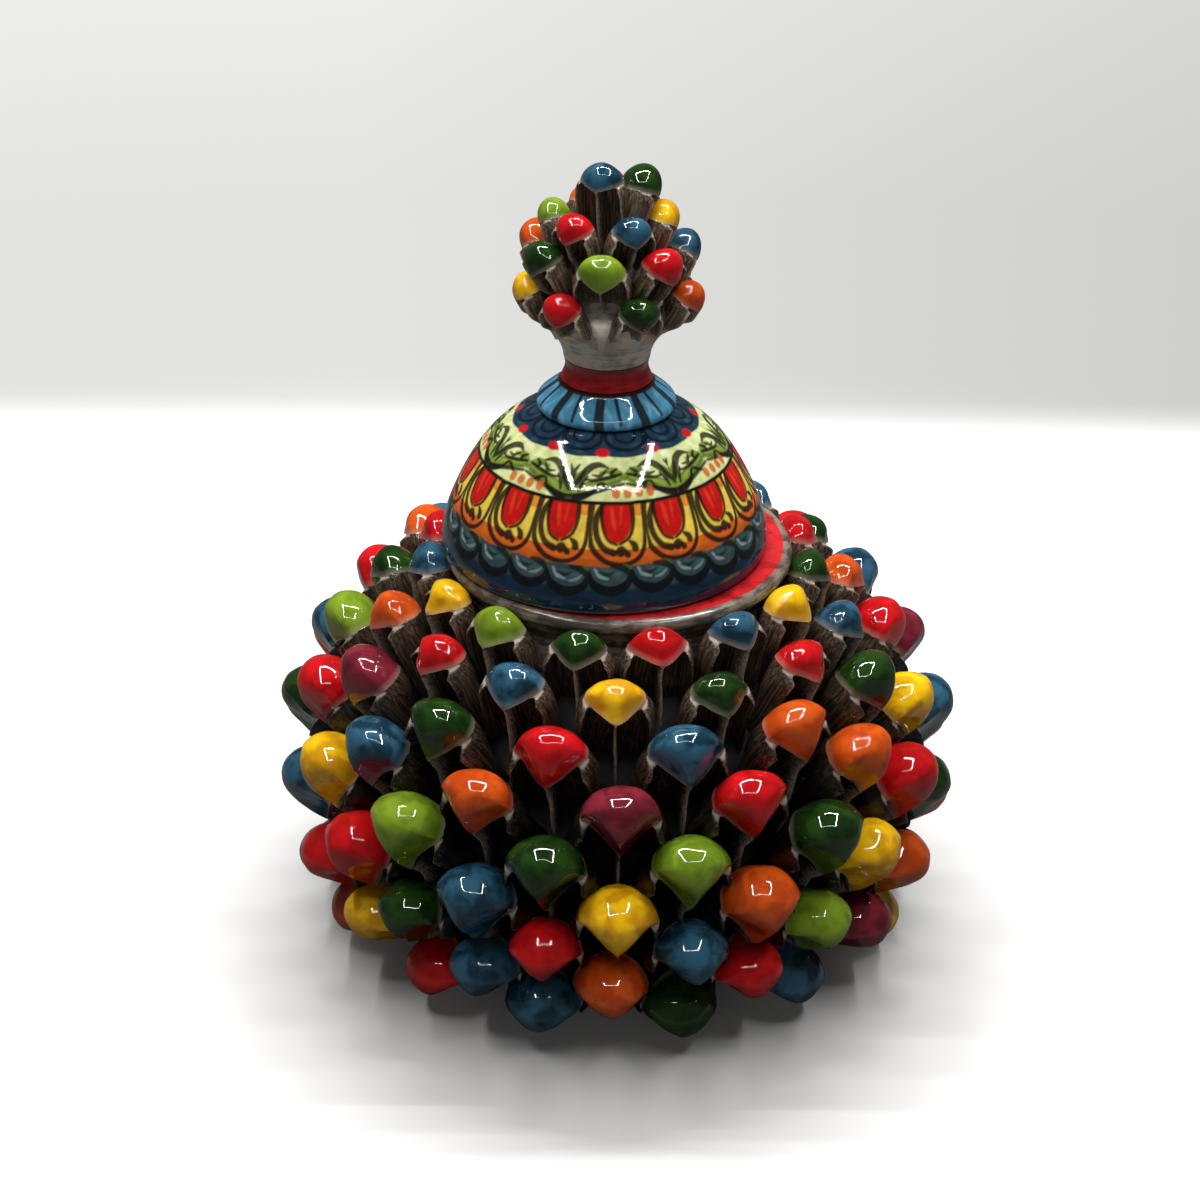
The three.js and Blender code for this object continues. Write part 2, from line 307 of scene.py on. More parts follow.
def carved_scale(name, width, length, root_half, corner, point, beak, back, crease, foot, melt=0.0):
    """One scale, its root at the origin, its tip up +Z and its front towards -Y. Sizes are in mm.

    The cap's glaze ends at the corners, beside the stem, and at the point, on its keel. Beak and
    back say, in widths, how far the cap juts forward there and how far it bulges behind. Crease
    is 1 for a sharp ridge down the cap and 0 for none, and foot is how far the stem's front
    spreads at the root, or draws in if it is negative. Melt is how far the front melts into clay
    without wash at the root, from 0 to 1, and how much paler it makes the side edges, whose pale
    colour is partly rubbed clay and partly a painted highlight.
    """
    across, is_front = scale_section()
    u = abs(across)
    step = CAP_STEP * width
    edge = corner + (point - corner) * (1 - u) ** 1.35 * is_front
    edge = edge + 0.25 * width * (1 - u) * (1 - is_front)
    s = scale_rings(edge, step, length)

    # The sides follow the round cap, flare below its corners and end as wide as the root.
    dome = np.sqrt(1 - (1 - np.clip(s / (0.5 * width), 0, 1)) ** 2)
    flare = STEM_FLARE * ease(s, corner - 0.05 * width, corner + 0.3 * width) * ease(u, 0.4, 1.0)
    half = width * (0.5 * dome + flare)
    half = half + (root_half - (0.5 + STEM_FLARE) * width) * ease(s, length - 0.7 * width, length)

    # The front is the cap's crown, and under its edge a keel between two flutes with rims.
    keel = width * (KEEL_RISE * dome + beak * ease(s, 0.2 * width, point))
    crest = crease * ease(s / edge, -0.3, 0.7)
    crown = keel * (1 - u ** (2 - crest)) ** (0.5 + 0.6 * crest)
    spread = foot * ease(s, point + 0.2 * width, length)
    ridge = np.exp(-((u / KEEL_SPREAD) ** 2.2))
    trough = np.sqrt(np.clip(1 - ((u - FLUTE_MIDDLE) / (1 - FLUTE_MIDDLE)) ** 2, 0, 1))
    past_rim = np.clip((u - RIM_MIDDLE) / (1 - RIM_MIDDLE), 0, 1)
    rim = ease(u, 0.7, 0.9) * np.sqrt(1 - past_rim**2)
    fluted = (keel + spread) * ridge + spread * (1 - u**6) * (1 - ridge)
    fluted = fluted - FLUTE_SINK * width * trough + RIM_RISE * width * rim
    melted = melt * ease(s, 0.5 * length, 0.9 * length)
    front = crown + (fluted * (1 - melted) - crown) * ease(s, edge, edge + step)

    # The back is half round and gets thinner towards the root.
    bulge = back * width * dome * (1 - 0.7 * ease(s, 0.45 * length, 0.9 * length))
    depth = np.where(is_front > 0, front, -bulge * np.sqrt(np.clip(1 - u**2, 0, 1)))

    # The clay shows pale under the glaze, where it melts, and along the keel and the side edges; on the
    # keel and the side edges the pale is partly rubbed clay and partly a painted highlight.
    keel_wear_and_glint = 0.7 * ease(s, edge - 0.02 * width, edge + step) * is_front
    wear_and_glint = keel_wear_and_glint * np.exp(-((u / KEEL_GLINT_SPREAD) ** 2))
    side_edge = is_front * ease(u, 0.8, 0.88) * (1 - ease(u, 0.92, 1.0))
    side_wear_and_glint = (0.45 + 0.5 * melt) * side_edge * ease(s, corner, 1.3 * corner)
    wear_and_glint = np.maximum(wear_and_glint, side_wear_and_glint * (1 - ease(s, edge + step, length)))
    under_glaze = np.exp(-(((s - edge - 0.02 * width) / (0.025 * width)) ** 2))
    wear_and_glint = np.maximum(wear_and_glint, is_front * under_glaze)
    wear_and_glint = np.maximum(wear_and_glint, 1.1 * melted)

    ringed = np.column_stack([(across * half).ravel(), -depth.ravel(), length - s.ravel()])
    vertices = np.vstack([[0, 0, length], ringed])
    mesh = bpy.data.meshes.new(name)
    mesh.from_pydata((vertices * MM).tolist(), [], scale_faces(s.shape[0], across.size))
    from_tip = np.column_stack([vertices[:, :2], length - vertices[:, 2]])
    keep(mesh, "place", "FLOAT_VECTOR", from_tip / width)
    keep(mesh, "inside_cap", "FLOAT", np.concatenate([[corner], (edge - s).ravel()]) / width)
    keep(mesh, "wear_and_glint", "FLOAT", np.concatenate([[0], wear_and_glint.ravel()]))
    return link_object(name, mesh)


# %% [markdown]
# ## A row of scales with Geometry Nodes
# One scale repeated round a ring, each a little different, is work for Geometry Nodes: the ring's
# sizes become named inputs, and a change to one number moves all fifteen scales. The points that
# the scales stand on carry the colour of the cap, and the realised mesh keeps it.

# %% Geometry Nodes tree: its named inputs
rows_tree = bpy.data.node_groups.new("Row of scales", "GeometryNodeTree")
rows_tree.interface.new_socket("Geometry", in_out="INPUT", socket_type="NodeSocketGeometry")
rows_tree.interface.new_socket("Scale", in_out="INPUT", socket_type="NodeSocketObject")
rows_tree.interface.new_socket("Finish", in_out="INPUT", socket_type="NodeSocketMaterial")
for socket_name in (
    "Root radius", "Root height", "Lean", "First turn", "Wider front",
    "Uneven lean", "Uneven turn", "Uneven size", "Uneven surface",
):
    rows_tree.interface.new_socket(socket_name, in_out="INPUT", socket_type="NodeSocketFloat")
rows_tree.interface.new_socket("Seed", in_out="INPUT", socket_type="NodeSocketInt")
rows_tree.interface.new_socket("Geometry", in_out="OUTPUT", socket_type="NodeSocketGeometry")
given = add(rows_tree, "NodeGroupInput").outputs

# %% Geometry Nodes tree: random numbers of each scale
# Each scale gets its own, as far either side of 0 as the named input says.
SEED_STEP = 100.0
UNEVEN_INPUTS = {
    "turn": "Uneven turn",
    "lean": "Uneven lean",
    "side lean": "Uneven turn",
    "size": "Uneven size",
}
uneven = {}
for use, (effect, input_name) in enumerate(UNEVEN_INPUTS.items()):
    most = given[input_name]
    least = add(rows_tree, "ShaderNodeMath", {0: most, 1: -1.0}, operation="MULTIPLY").outputs[0]
    further = SEED_STEP * use
    seed = add(rows_tree, "ShaderNodeMath", {0: given["Seed"], 1: further}, operation="ADD").outputs[0]
    chance = add(rows_tree, "FunctionNodeRandomValue", {2: least, 3: most, "Seed": seed}, data_type="FLOAT")
    uneven[effect] = chance.outputs[1]

# %% Geometry Nodes tree: where each scale stands and how it leans
# An angle's cosine is 0 at the front and 1 or -1 at the sides, so Wider front moves the scales at
# the sides backwards, and those in front stand further apart.
count = add(rows_tree, "GeometryNodeAttributeDomainSize", {0: given["Geometry"]}).outputs["Point Count"]
index = add(rows_tree, "GeometryNodeInputIndex").outputs[0]
share = add(rows_tree, "ShaderNodeMath", {0: index, 1: count}, operation="DIVIDE").outputs[0]
angle = add(rows_tree, "ShaderNodeMath", {0: share, 1: 2 * math.pi, 2: given["First turn"]},
            operation="MULTIPLY_ADD").outputs[0]
aside = add(rows_tree, "ShaderNodeMath", {0: angle}, operation="COSINE").outputs[0]
widened = add(rows_tree, "ShaderNodeMath", {0: aside, 1: given["Wider front"], 2: angle},
              operation="MULTIPLY_ADD").outputs[0]
turn = add(rows_tree, "ShaderNodeMath", {0: widened, 1: uneven["turn"]}, operation="ADD").outputs[0]
cosine = add(rows_tree, "ShaderNodeMath", {0: turn}, operation="COSINE").outputs[0]
sine = add(rows_tree, "ShaderNodeMath", {0: turn}, operation="SINE").outputs[0]
radius = given["Root radius"]
root_x = add(rows_tree, "ShaderNodeMath", {0: cosine, 1: radius}, operation="MULTIPLY").outputs[0]
root_y = add(rows_tree, "ShaderNodeMath", {0: sine, 1: radius}, operation="MULTIPLY").outputs[0]
root_at = add(rows_tree, "ShaderNodeCombineXYZ", {0: root_x, 1: root_y, 2: given["Root height"]}).outputs[0]
lean = add(rows_tree, "ShaderNodeMath", {0: given["Lean"], 1: uneven["lean"]}, operation="ADD").outputs[0]
facing = add(rows_tree, "ShaderNodeMath", {0: turn, 1: math.pi / 2}, operation="ADD").outputs[0]
attitude = add(rows_tree, "ShaderNodeCombineXYZ", {0: lean, 1: uneven["side lean"], 2: facing}).outputs[0]
size = add(rows_tree, "ShaderNodeMath", {0: 1.0, 1: uneven["size"]}, operation="ADD").outputs[0]

# %% Geometry Nodes tree: the row itself
# The clay's surface waves a little, with bumps about 10 mm apart.
LUMPS_PER_METRE = 95.0
placed = add(rows_tree, "GeometryNodeSetPosition", {"Geometry": given["Geometry"], "Position": root_at})
one_scale = add(rows_tree, "GeometryNodeObjectInfo", {"Object": given["Scale"]}).outputs["Geometry"]
row_of = add(rows_tree, "GeometryNodeInstanceOnPoints", {
    "Points": placed.outputs[0], "Instance": one_scale, "Rotation": attitude, "Scale": size,
})
solid_row = add(rows_tree, "GeometryNodeRealizeInstances", {"Geometry": row_of.outputs[0]}).outputs[0]
spot = add(rows_tree, "GeometryNodeInputPosition").outputs[0]
lumps = add(rows_tree, "ShaderNodeTexNoise", {"Vector": spot, "Scale": LUMPS_PER_METRE, "Detail": 1.5})
off = add(rows_tree, "ShaderNodeVectorMath", {0: lumps.outputs["Color"], 1: (0.5, 0.5, 0.5)},
          operation="SUBTRACT").outputs[0]
shift = add(rows_tree, "ShaderNodeVectorMath", {0: off, "Scale": given["Uneven surface"]},
            operation="SCALE").outputs[0]
lumpy = add(rows_tree, "GeometryNodeSetPosition", {"Geometry": solid_row, "Offset": shift}).outputs[0]
finished = add(rows_tree, "GeometryNodeSetMaterial", {"Geometry": lumpy, "Material": given["Finish"]})
add(rows_tree, "NodeGroupOutput", {0: finished.outputs[0]})
print("row tree:", len(rows_tree.nodes), "nodes")

# %% [markdown]
# ## Glazes
# Seven majolica glazes colour the caps, laid out in no strict order, as the maker had them to
# hand. A glaze is never one flat colour: it thins on edges and pools in hollows, so each one has
# a second, deeper tone. Both travel with the points of a row as colour attributes.

# %% Glazes and their order round each row, starting at the front and going right
# They are red, orange, yellow, lime, green, blue and plum.
GLAZES = {
    "R": ("#AF1014", "#930B0F"),
    "O": ("#B54812", "#9C370D"),
    "Y": ("#D8A90F", "#B5800C"),
    "L": ("#6C8420", "#556D17"),
    "G": ("#1A350D", "#0E2208"),
    "B": ("#294F64", "#0F2A37"),
    "P": ("#701F2C", "#54151E"),
}
ROW_ORDERS = [
    "RBYGRBOLYGRBYLG", "YGRBOGYBRLOGORB", "BOGRBRYGOBRLPGR", "PROYPGBLRGYBRBO", "LGRBOYGPBROGYLG",
    "YOYGRBLYOGLRBRB", "BLORGYBPOLRYRGR", "ORPGYRBOLGPRBYB", "GBYROGLBPYRGORB",
]
print(len(GLAZES), "glazes on", sum(len(order) for order in ROW_ORDERS), "scales of the jar")

# %% [markdown]
# ## Material: majolica glaze over manganese-washed clay
# The whole jar is red clay, brushed with a brown-black manganese wash that stays in the gouge
# marks and wears off the edges, and over it lies a clear gloss. The caps carry coloured tin
# glaze. To the eye that is a wet, deep gloss (IOR 1.5, roughness under 0.1) on the caps, and
# streaks along dark stems with pale edges, partly rubbed clay and partly a painted highlight. The
# wash is painted darker low on the jar and paler high up, as painted shade and light. The streaks
# are about 0.8 mm apart.

# %% Glazed scale material
# The patterns' scales are in bumps per metre: 1100 is one in 0.9 mm, and 150 one in about 7 mm.
GLOSS_IOR = 1.5
CAP_ROUGHNESS = 0.035
STEM_ROUGHNESS = 0.12
WASH_DARK = "#241C17"
WASH_PALE = "#6C5A48"
# The pale of clay without wash, which along the keels and rims also paints a highlight.
BARE_CLAY_AND_GLINT = "#A69A8C"
THIN_GLAZE = "#B4A493"
GRIT_SCALE = 1100.0
EDGE_SCALE = 260.0
POOL_SCALE = 150.0
STREAK_SHUFFLE = 90.0
STREAKS_PER_WIDTH = 27.0
STREAKS_PER_LENGTH = 2.2
BRUSH_DEPTH = 0.0004
# The wash is painted nearly black below the first height, in metres, as painted shade in the deep
# lower flutes, and paler above the second, as painted light on the upper flutes and the knob.
SHADE_HEIGHTS = (0.07, 0.13)
SHADE_TONES = (0.07, 1.3)


def glazed_scale():
    """Clay with a manganese wash, pale on its rubbed edges and with a painted highlight on its keels
    and rims, and a coloured cap with a wet gloss.
    """
    material, tree, shader = new_material("majolica_glazed_scale")
    place = add(tree, "ShaderNodeAttribute", attribute_name="place").outputs["Vector"]
    glaze = add(tree, "ShaderNodeAttribute", attribute_name="glaze").outputs["Color"]
    pool = add(tree, "ShaderNodeAttribute", attribute_name="pool").outputs["Color"]
    inside = add(tree, "ShaderNodeAttribute", attribute_name="inside_cap").outputs["Fac"]
    wear_and_glint = add(tree, "ShaderNodeAttribute", attribute_name="wear_and_glint").outputs["Fac"]
    spot = add(tree, "ShaderNodeTexCoord").outputs["Object"]

    # The brush leaves the cap's edge a little uneven, by about half a millimetre.
    wander = add(tree, "ShaderNodeTexNoise", {"Vector": spot, "Scale": EDGE_SCALE, "Detail": 2.0}).outputs[0]
    edge = add(tree, "ShaderNodeMath", {0: wander, 1: 0.06, 2: inside}, operation="MULTIPLY_ADD").outputs[0]
    is_cap = add(tree, "ShaderNodeMapRange", {0: edge, 1: 0.022, 2: 0.042}).outputs[0]

    # Streaks run along the stem, so the noise is squeezed across it.
    squeeze = (STREAKS_PER_WIDTH, STREAKS_PER_WIDTH, STREAKS_PER_LENGTH)
    shuffle = (STREAK_SHUFFLE, STREAK_SHUFFLE, STREAK_SHUFFLE)
    squeezed = add(tree, "ShaderNodeVectorMath", {0: place, 1: squeeze}, operation="MULTIPLY").outputs[0]
    shuffled = add(tree, "ShaderNodeVectorMath", {0: spot, 1: shuffle, 2: squeezed},
                   operation="MULTIPLY_ADD").outputs[0]
    marks = add(tree, "ShaderNodeTexNoise",
                {"Vector": shuffled, "Scale": 1.0, "Detail": 4.0, "Roughness": 0.65}).outputs[0]
    brushed = add(tree, "ShaderNodeMapRange", {0: marks, 1: 0.36, 2: 0.8},
                  interpolation_type="SMOOTHSTEP").outputs[0]
    marked = add(tree, "ShaderNodeMix", {0: brushed, 6: linear(WASH_DARK), 7: linear(WASH_PALE)},
                 data_type="RGBA").outputs[2]

    # The wash is painted darker low on the jar and paler higher up, as painted shade and light. Where the
    # wash is rubbed off the clay shows pale, and on the keels and rims that pale is also a painted highlight.
    up = add(tree, "ShaderNodeSeparateXYZ", {0: spot}).outputs[2]
    low, high = SHADE_HEIGHTS
    dark, pale = SHADE_TONES
    shade_by_height = add(tree, "ShaderNodeMapRange", {0: up, 1: low, 2: high, 3: dark, 4: pale}).outputs[0]
    wash = add(tree, "ShaderNodeVectorMath", {0: marked, "Scale": shade_by_height}, operation="SCALE").outputs[0]
    grit = add(tree, "ShaderNodeTexNoise", {"Vector": spot, "Scale": GRIT_SCALE, "Detail": 2.0}).outputs[0]
    worn_and_glinting = add(tree, "ShaderNodeMath", {0: grit, 1: 0.55, 2: wear_and_glint}, operation="MULTIPLY_ADD").outputs[0]
    bare_and_glinting = add(tree, "ShaderNodeMapRange", {0: worn_and_glinting, 1: 0.5, 2: 1.25},
               interpolation_type="SMOOTHSTEP").outputs[0]
    stem = add(tree, "ShaderNodeMix", {0: bare_and_glinting, 6: wash, 7: linear(BARE_CLAY_AND_GLINT)}, data_type="RGBA").outputs[2]

    # The coloured glaze pools in patches and is thin along its lower edge.
    clouds = add(tree, "ShaderNodeTexNoise",
                 {"Vector": spot, "Scale": POOL_SCALE, "Detail": 3.0, "Distortion": 0.3}).outputs[0]
    depth = add(tree, "ShaderNodeMapRange", {0: clouds, 1: 0.4, 2: 0.62},
                interpolation_type="SMOOTHSTEP").outputs[0]
    pooled = add(tree, "ShaderNodeMix", {0: depth, 6: glaze, 7: pool}, data_type="RGBA").outputs[2]
    thin = add(tree, "ShaderNodeMapRange", {0: inside, 1: 0.0, 2: 0.1, 3: 0.3, 4: 0.0}).outputs[0]
    cap = add(tree, "ShaderNodeMix", {0: thin, 6: pooled, 7: linear(THIN_GLAZE)}, data_type="RGBA").outputs[2]
    colour = add(tree, "ShaderNodeMix", {0: is_cap, 6: stem, 7: cap}, data_type="RGBA").outputs[2]
    tree.links.new(colour, shader.inputs["Base Color"])

    # The cap is glossier than the stem, and its bumps are lower than the stem's brush marks.
    gloss = add(tree, "ShaderNodeMapRange", {0: is_cap, 3: STEM_ROUGHNESS, 4: CAP_ROUGHNESS}).outputs[0]
    tree.links.new(gloss, shader.inputs["Roughness"])
    is_stem = add(tree, "ShaderNodeMath", {0: 1.0, 1: is_cap}, operation="SUBTRACT").outputs[0]
    grooves = add(tree, "ShaderNodeMath", {0: marks, 1: is_stem}, operation="MULTIPLY").outputs[0]
    relief = add(tree, "ShaderNodeMath", {0: clouds, 1: 0.35, 2: grooves},
                 operation="MULTIPLY_ADD").outputs[0]
    bump = add(tree, "ShaderNodeBump", {"Strength": 0.5, "Distance": BRUSH_DEPTH, "Height": relief})
    tree.links.new(bump.outputs[0], shader.inputs["Normal"])
    shader.inputs["IOR"].default_value = GLOSS_IOR
    print(material.name, "has", len(tree.nodes), "nodes")
    return material


scale_finish = glazed_scale()

# %% [markdown]
# ## The nine rows of the jar
# The tree gets one point per scale, with its glaze, and the sizes of its row. Its result is made
# a plain mesh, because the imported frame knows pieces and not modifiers.

# %% Helpers for one finished row
def set_input(modifier, name, value):
    """Sets a modifier's named input by the socket's identifier."""
    items = modifier.node_group.interface.items_tree
    socket = next(item for item in items if item.name == name and item.in_out == "INPUT")
    modifier[socket.identifier] = value


def ring_of_scales(name, scale, order, sizes):
    """A finished mesh: one scale for each letter of order, set out by the row tree."""
    points = bpy.data.meshes.new(name)
    points.from_pydata([(0, 0, 0)] * len(order), [], [])
    for tone, attribute in enumerate(("glaze", "pool")):
        keep(points, attribute, "FLOAT_COLOR", [linear(GLAZES[letter][tone]) for letter in order])
    ring = bpy.data.objects.new(name + "_points", points)
    bpy.context.collection.objects.link(ring)
    modifier = ring.modifiers.new("row", "NODES")
    modifier.node_group = rows_tree
    set_input(modifier, "Scale", scale)
    set_input(modifier, "Finish", scale_finish)
    for key, value in sizes.items():
        set_input(modifier, key, value)
    graph = bpy.context.evaluated_depsgraph_get()
    mesh = bpy.data.meshes.new_from_object(ring.evaluated_get(graph), depsgraph=graph)
    mesh.name = name
    for used in (ring, scale):
        bpy.data.objects.remove(used)
    return link_object(name, mesh)


def scale_sizes(root, tip):
    """Length of a scale and how far it leans outwards from upright."""
    return math.hypot(*(tip - root)), math.atan2(tip[0] - root[0], tip[1] - root[1])


# %% The nine rows
SINK = 3.0
ROOT_SHARE = 0.48
ROWS_WITH_WIDER_FRONT = range(3, 10)
WIDER_FRONT = 0.07
BY_HAND = {"Uneven lean": 0.035, "Uneven turn": 0.02, "Uneven size": 0.03, "Uneven surface": 0.0016}
row_pitch = 2 * math.pi / SCALES_PER_ROW
for row, width in enumerate(CAP_WIDTHS, 1):
    k = row - 1
    root, tip = row_place(row)
    length, lean = scale_sizes(root, tip)
    start = root - SINK * (tip - root) / length
    scale = carved_scale(
        f"scale_{row}", width, length + SINK, ROOT_SHARE * row_pitch * root[0],
        CAP_CORNERS[k] * width, CAP_POINTS[k] * width,
        CAP_BEAKS[k], CAP_BACKS[k], CAP_CREASES[k], STEM_FEET[k],
    )
    piece = ring_of_scales(f"carved_row_{row}", scale, ROW_ORDERS[k], {
        "Root radius": start[0] * MM,
        "Root height": start[1] * MM,
        "Lean": lean,
        "First turn": -math.pi / 2 + (row % 2) * row_pitch / 2,
        "Wider front": WIDER_FRONT if row in ROWS_WITH_WIDER_FRONT else 0.0,
        "Seed": row,
        **BY_HAND,
    })
    hand_over(piece, f"scale_row_{row}", "jar")

# %% [markdown]
# ## The lid's knob
# The knob is a small pine cone of finger-like scales on a core: two rows of seven, one of six and
# three upright fingers on top. The same carved scale and the same tree make it.

# %% Knob scales
# The wall has the place of each row's roots. A row has its tips' place, its caps' width, the share
# of a pitch by which it is turned, how far its stems melt into bare clay, and its glazes. Corner,
# point, back and foot are shares of the cap's width, as on the jar.
LID_CENTRE = -4.3
KNOB_WALL = np.array([(17.2, 193.3), (13.9, 201.9), (10.6, 210.5)])
KNOB_ROWS = [
    ((25.8, 207.8), 12.4, 0.4, 1.0, "GOBLRYR"),
    ((24.0, 218.8), 13.4, 0.87, 0.5, "RBYROGL"),
    ((17.6, 228.2), 11.8, 0.39, 0.4, "BYGOLR"),
]
KNOB_ROOT_SHARE = 0.46
KNOB_CORNER = 0.36
KNOB_POINT = 0.54
KNOB_BACK = 0.42
KNOB_CREASE = 0.3
KNOB_FOOT = -0.2
KNOB_BY_HAND = {"Uneven lean": 0.05, "Uneven turn": 0.05, "Uneven size": 0.03, "Uneven surface": 0.001}
KNOB_SEED = 20


def move_to_lid(piece):
    """Puts a piece made about the jar's axis where the lid sits."""
    piece.data.transform(Matrix.Translation((LID_CENTRE * MM, 0, 0)))


for k, (tip, width, turn_share, melt, order) in enumerate(KNOB_ROWS):
    tip = np.array(tip)
    root = KNOB_WALL[k]
    length, lean = scale_sizes(root, tip)
    start = root - SINK * (tip - root) / length
    pitch = 2 * math.pi / len(order)
    scale = carved_scale(
        f"knob_scale_{k}", width, length + SINK, KNOB_ROOT_SHARE * pitch * root[0],
        KNOB_CORNER * width, KNOB_POINT * width, 0.0, KNOB_BACK, KNOB_CREASE, KNOB_FOOT * width, melt,
    )
    piece = ring_of_scales(f"knob_row_{k + 1}", scale, order, {
        "Root radius": start[0] * MM,
        "Root height": start[1] * MM,
        "Lean": lean,
        "First turn": -math.pi / 2 + turn_share * pitch,
        "Seed": KNOB_SEED + k,
        **KNOB_BY_HAND,
    })
    move_to_lid(piece)
    hand_over(piece, f"finial_row_{k + 1}", "lid")

# %% Three upright fingers on top
# Each has its angle in degrees, its tip, its cap's width and its glaze.
FINGER_ROOT = np.array((2.0, 211.5))
FINGERS = [(-112, (5.8, 240.5), 12.6, "B"), (0, (11.0, 238.4), 14.2, "G"), (100, (6.5, 236.0), 12.0, "R")]
FINGER_ROOT_HALF = 0.53
FINGER_CORNER = 0.38
FINGER_POINT = 0.5
FINGER_CREASE = 0.2
FINGER_MELT = 0.3
FINGER_SEED = 30
for k, (turn_degrees, tip, width, letter) in enumerate(FINGERS):
    length, lean = scale_sizes(FINGER_ROOT, np.array(tip))
    scale = carved_scale(
        f"top_scale_{k}", width, length, FINGER_ROOT_HALF * width,
        FINGER_CORNER * width, FINGER_POINT * width, 0.0, KNOB_BACK, FINGER_CREASE, 0.0, FINGER_MELT,
    )
    piece = ring_of_scales(f"knob_finger_{k + 1}", scale, letter, {
        "Root radius": FINGER_ROOT[0] * MM,
        "Root height": FINGER_ROOT[1] * MM,
        "Lean": lean,
        "First turn": math.radians(turn_degrees),
        "Uneven surface": KNOB_BY_HAND["Uneven surface"],
        "Seed": FINGER_SEED + k,
    })
    move_to_lid(piece)
    hand_over(piece, "finial_top", "lid")

# %% [markdown]
# ## Turned pieces of the jar
# Between the scales the pot's own wall shows, dark with wash. Its shoulder and neck are lighter,
# because the brush was nearly dry there, and inside it has the pale glaze that a jar for food
# gets. One turned mesh carries all three, each from its own step of the profile. The wash lies in
# brush marks about 1 mm apart that run round, and the plain glazes have the same soft unevenness,
# so one recipe serves them all with different colours.

# %% Washed clay and plain glazes
# A glaze is its colour in the hollows, its colour on the ridges, how much of it is dark, from about
# 0.7 to 0.9, and its roughness. The patterns' scales are in bumps per metre.
BRUSH_SCALE_ROUND = 160.0
BRUSH_SCALE_UP = 900.0
PATCH_SCALE = 160.0
BLEND = 0.35
BRUSHED_GLAZES = {
    "manganese_washed_wall": ("#070504", "#130E0B", 0.9, 0.75),
    "washed_lip": ("#3F362E", "#73685C", 0.85, 0.2),
    "thinly_washed_clay": ("#8C8378", "#BFB6AA", 0.75, 0.2),
    "cream_tin_glaze": ("#D8CDB4", "#E9E1CC", 0.7, 0.12),
    "red_glaze": ("#7E0F14", "#B02024", 0.75, 0.1),
    "deep_red_glaze": ("#650B0F", "#93161A", 0.75, 0.1),
    "foot_glaze": ("#3A1210", "#6B1E1A", 0.8, 0.2),
}


def brushed_glaze(name, hollow, ridge, dark_share, roughness):
    """Glaze or wash laid on with a flat brush while the piece turned on the wheel."""
    material, tree, shader = new_material(name)
    spot = add(tree, "ShaderNodeTexCoord").outputs["Object"]
    flatten = (BRUSH_SCALE_ROUND, BRUSH_SCALE_ROUND, BRUSH_SCALE_UP)
    layered = add(tree, "ShaderNodeVectorMath", {0: spot, 1: flatten}, operation="MULTIPLY").outputs[0]
    marks = add(tree, "ShaderNodeTexNoise",
                {"Vector": layered, "Scale": 1.0, "Detail": 4.0, "Roughness": 0.7}).outputs[0]
    patches = add(tree, "ShaderNodeTexNoise",
                  {"Vector": spot, "Scale": PATCH_SCALE, "Detail": 3.0}).outputs[0]
    both = add(tree, "ShaderNodeMath", {0: marks, 1: patches}, operation="ADD").outputs[0]
    tone = add(tree, "ShaderNodeMapRange", {0: both, 1: dark_share, 2: dark_share + BLEND},
               interpolation_type="SMOOTHSTEP").outputs[0]
    colour = add(tree, "ShaderNodeMix", {0: tone, 6: linear(hollow), 7: linear(ridge)},
                 data_type="RGBA").outputs[2]
    tree.links.new(colour, shader.inputs["Base Color"])
    bump = add(tree, "ShaderNodeBump", {"Strength": 0.4, "Distance": 0.0003, "Height": both}).outputs[0]
    tree.links.new(bump, shader.inputs["Normal"])
    shader.inputs["Roughness"].default_value = roughness
    return material


finish = {name: brushed_glaze(name, *values) for name, values in BRUSHED_GLAZES.items()}
print("brushed glazes:", ", ".join(finish))

# %% Foot, pot and mouth rim
# Each profile is a list of radius and height in mm. The pieces are 0.3 mm apart.
TURNED_SIDES = 180
GAP = 0.3
FOOT_TOP = 8
FLOOR_TOP = 15.3
MOUTH_RADIUS = 42
NECK_RADIUS = 47.5
NECK_TOP = 117.2
SHOULDER_HEIGHT = 99
INNER_WALL = [(MOUTH_RADIUS, 104), (58, 80), (71.5, 57), (67.5, 33), (46, FLOOR_TOP)]
foot_line = [(0, 0), (45.5, 0), (47.2, 0.5), (48, 1.8), (48, FOOT_TOP), (0, FOOT_TOP)]
foot = turned("foot_ring", foot_line, TURNED_SIDES, [finish["foot_glaze"]])
hand_over(foot, "foot", "jar")

pot_line = [(0, FOOT_TOP + GAP), (49, FOOT_TOP + GAP)] + smooth_line(WALL_LINE[::-1], 40).tolist()
pot_line += [(NECK_RADIUS, 103), (NECK_RADIUS, NECK_TOP)]
shoulder_step = sum(height < SHOULDER_HEIGHT for radius, height in pot_line)
neck_step = len(pot_line)
pot_line += [(MOUTH_RADIUS, NECK_TOP)] + smooth_line(INNER_WALL, 40).tolist() + [(0, FLOOR_TOP)]
pot_finishes = [finish["manganese_washed_wall"], finish["washed_lip"], finish["cream_tin_glaze"]]
pot = turned("thrown_pot", pot_line, TURNED_SIDES, pot_finishes, [shoulder_step, neck_step])
hand_over(pot, "pot", "jar")

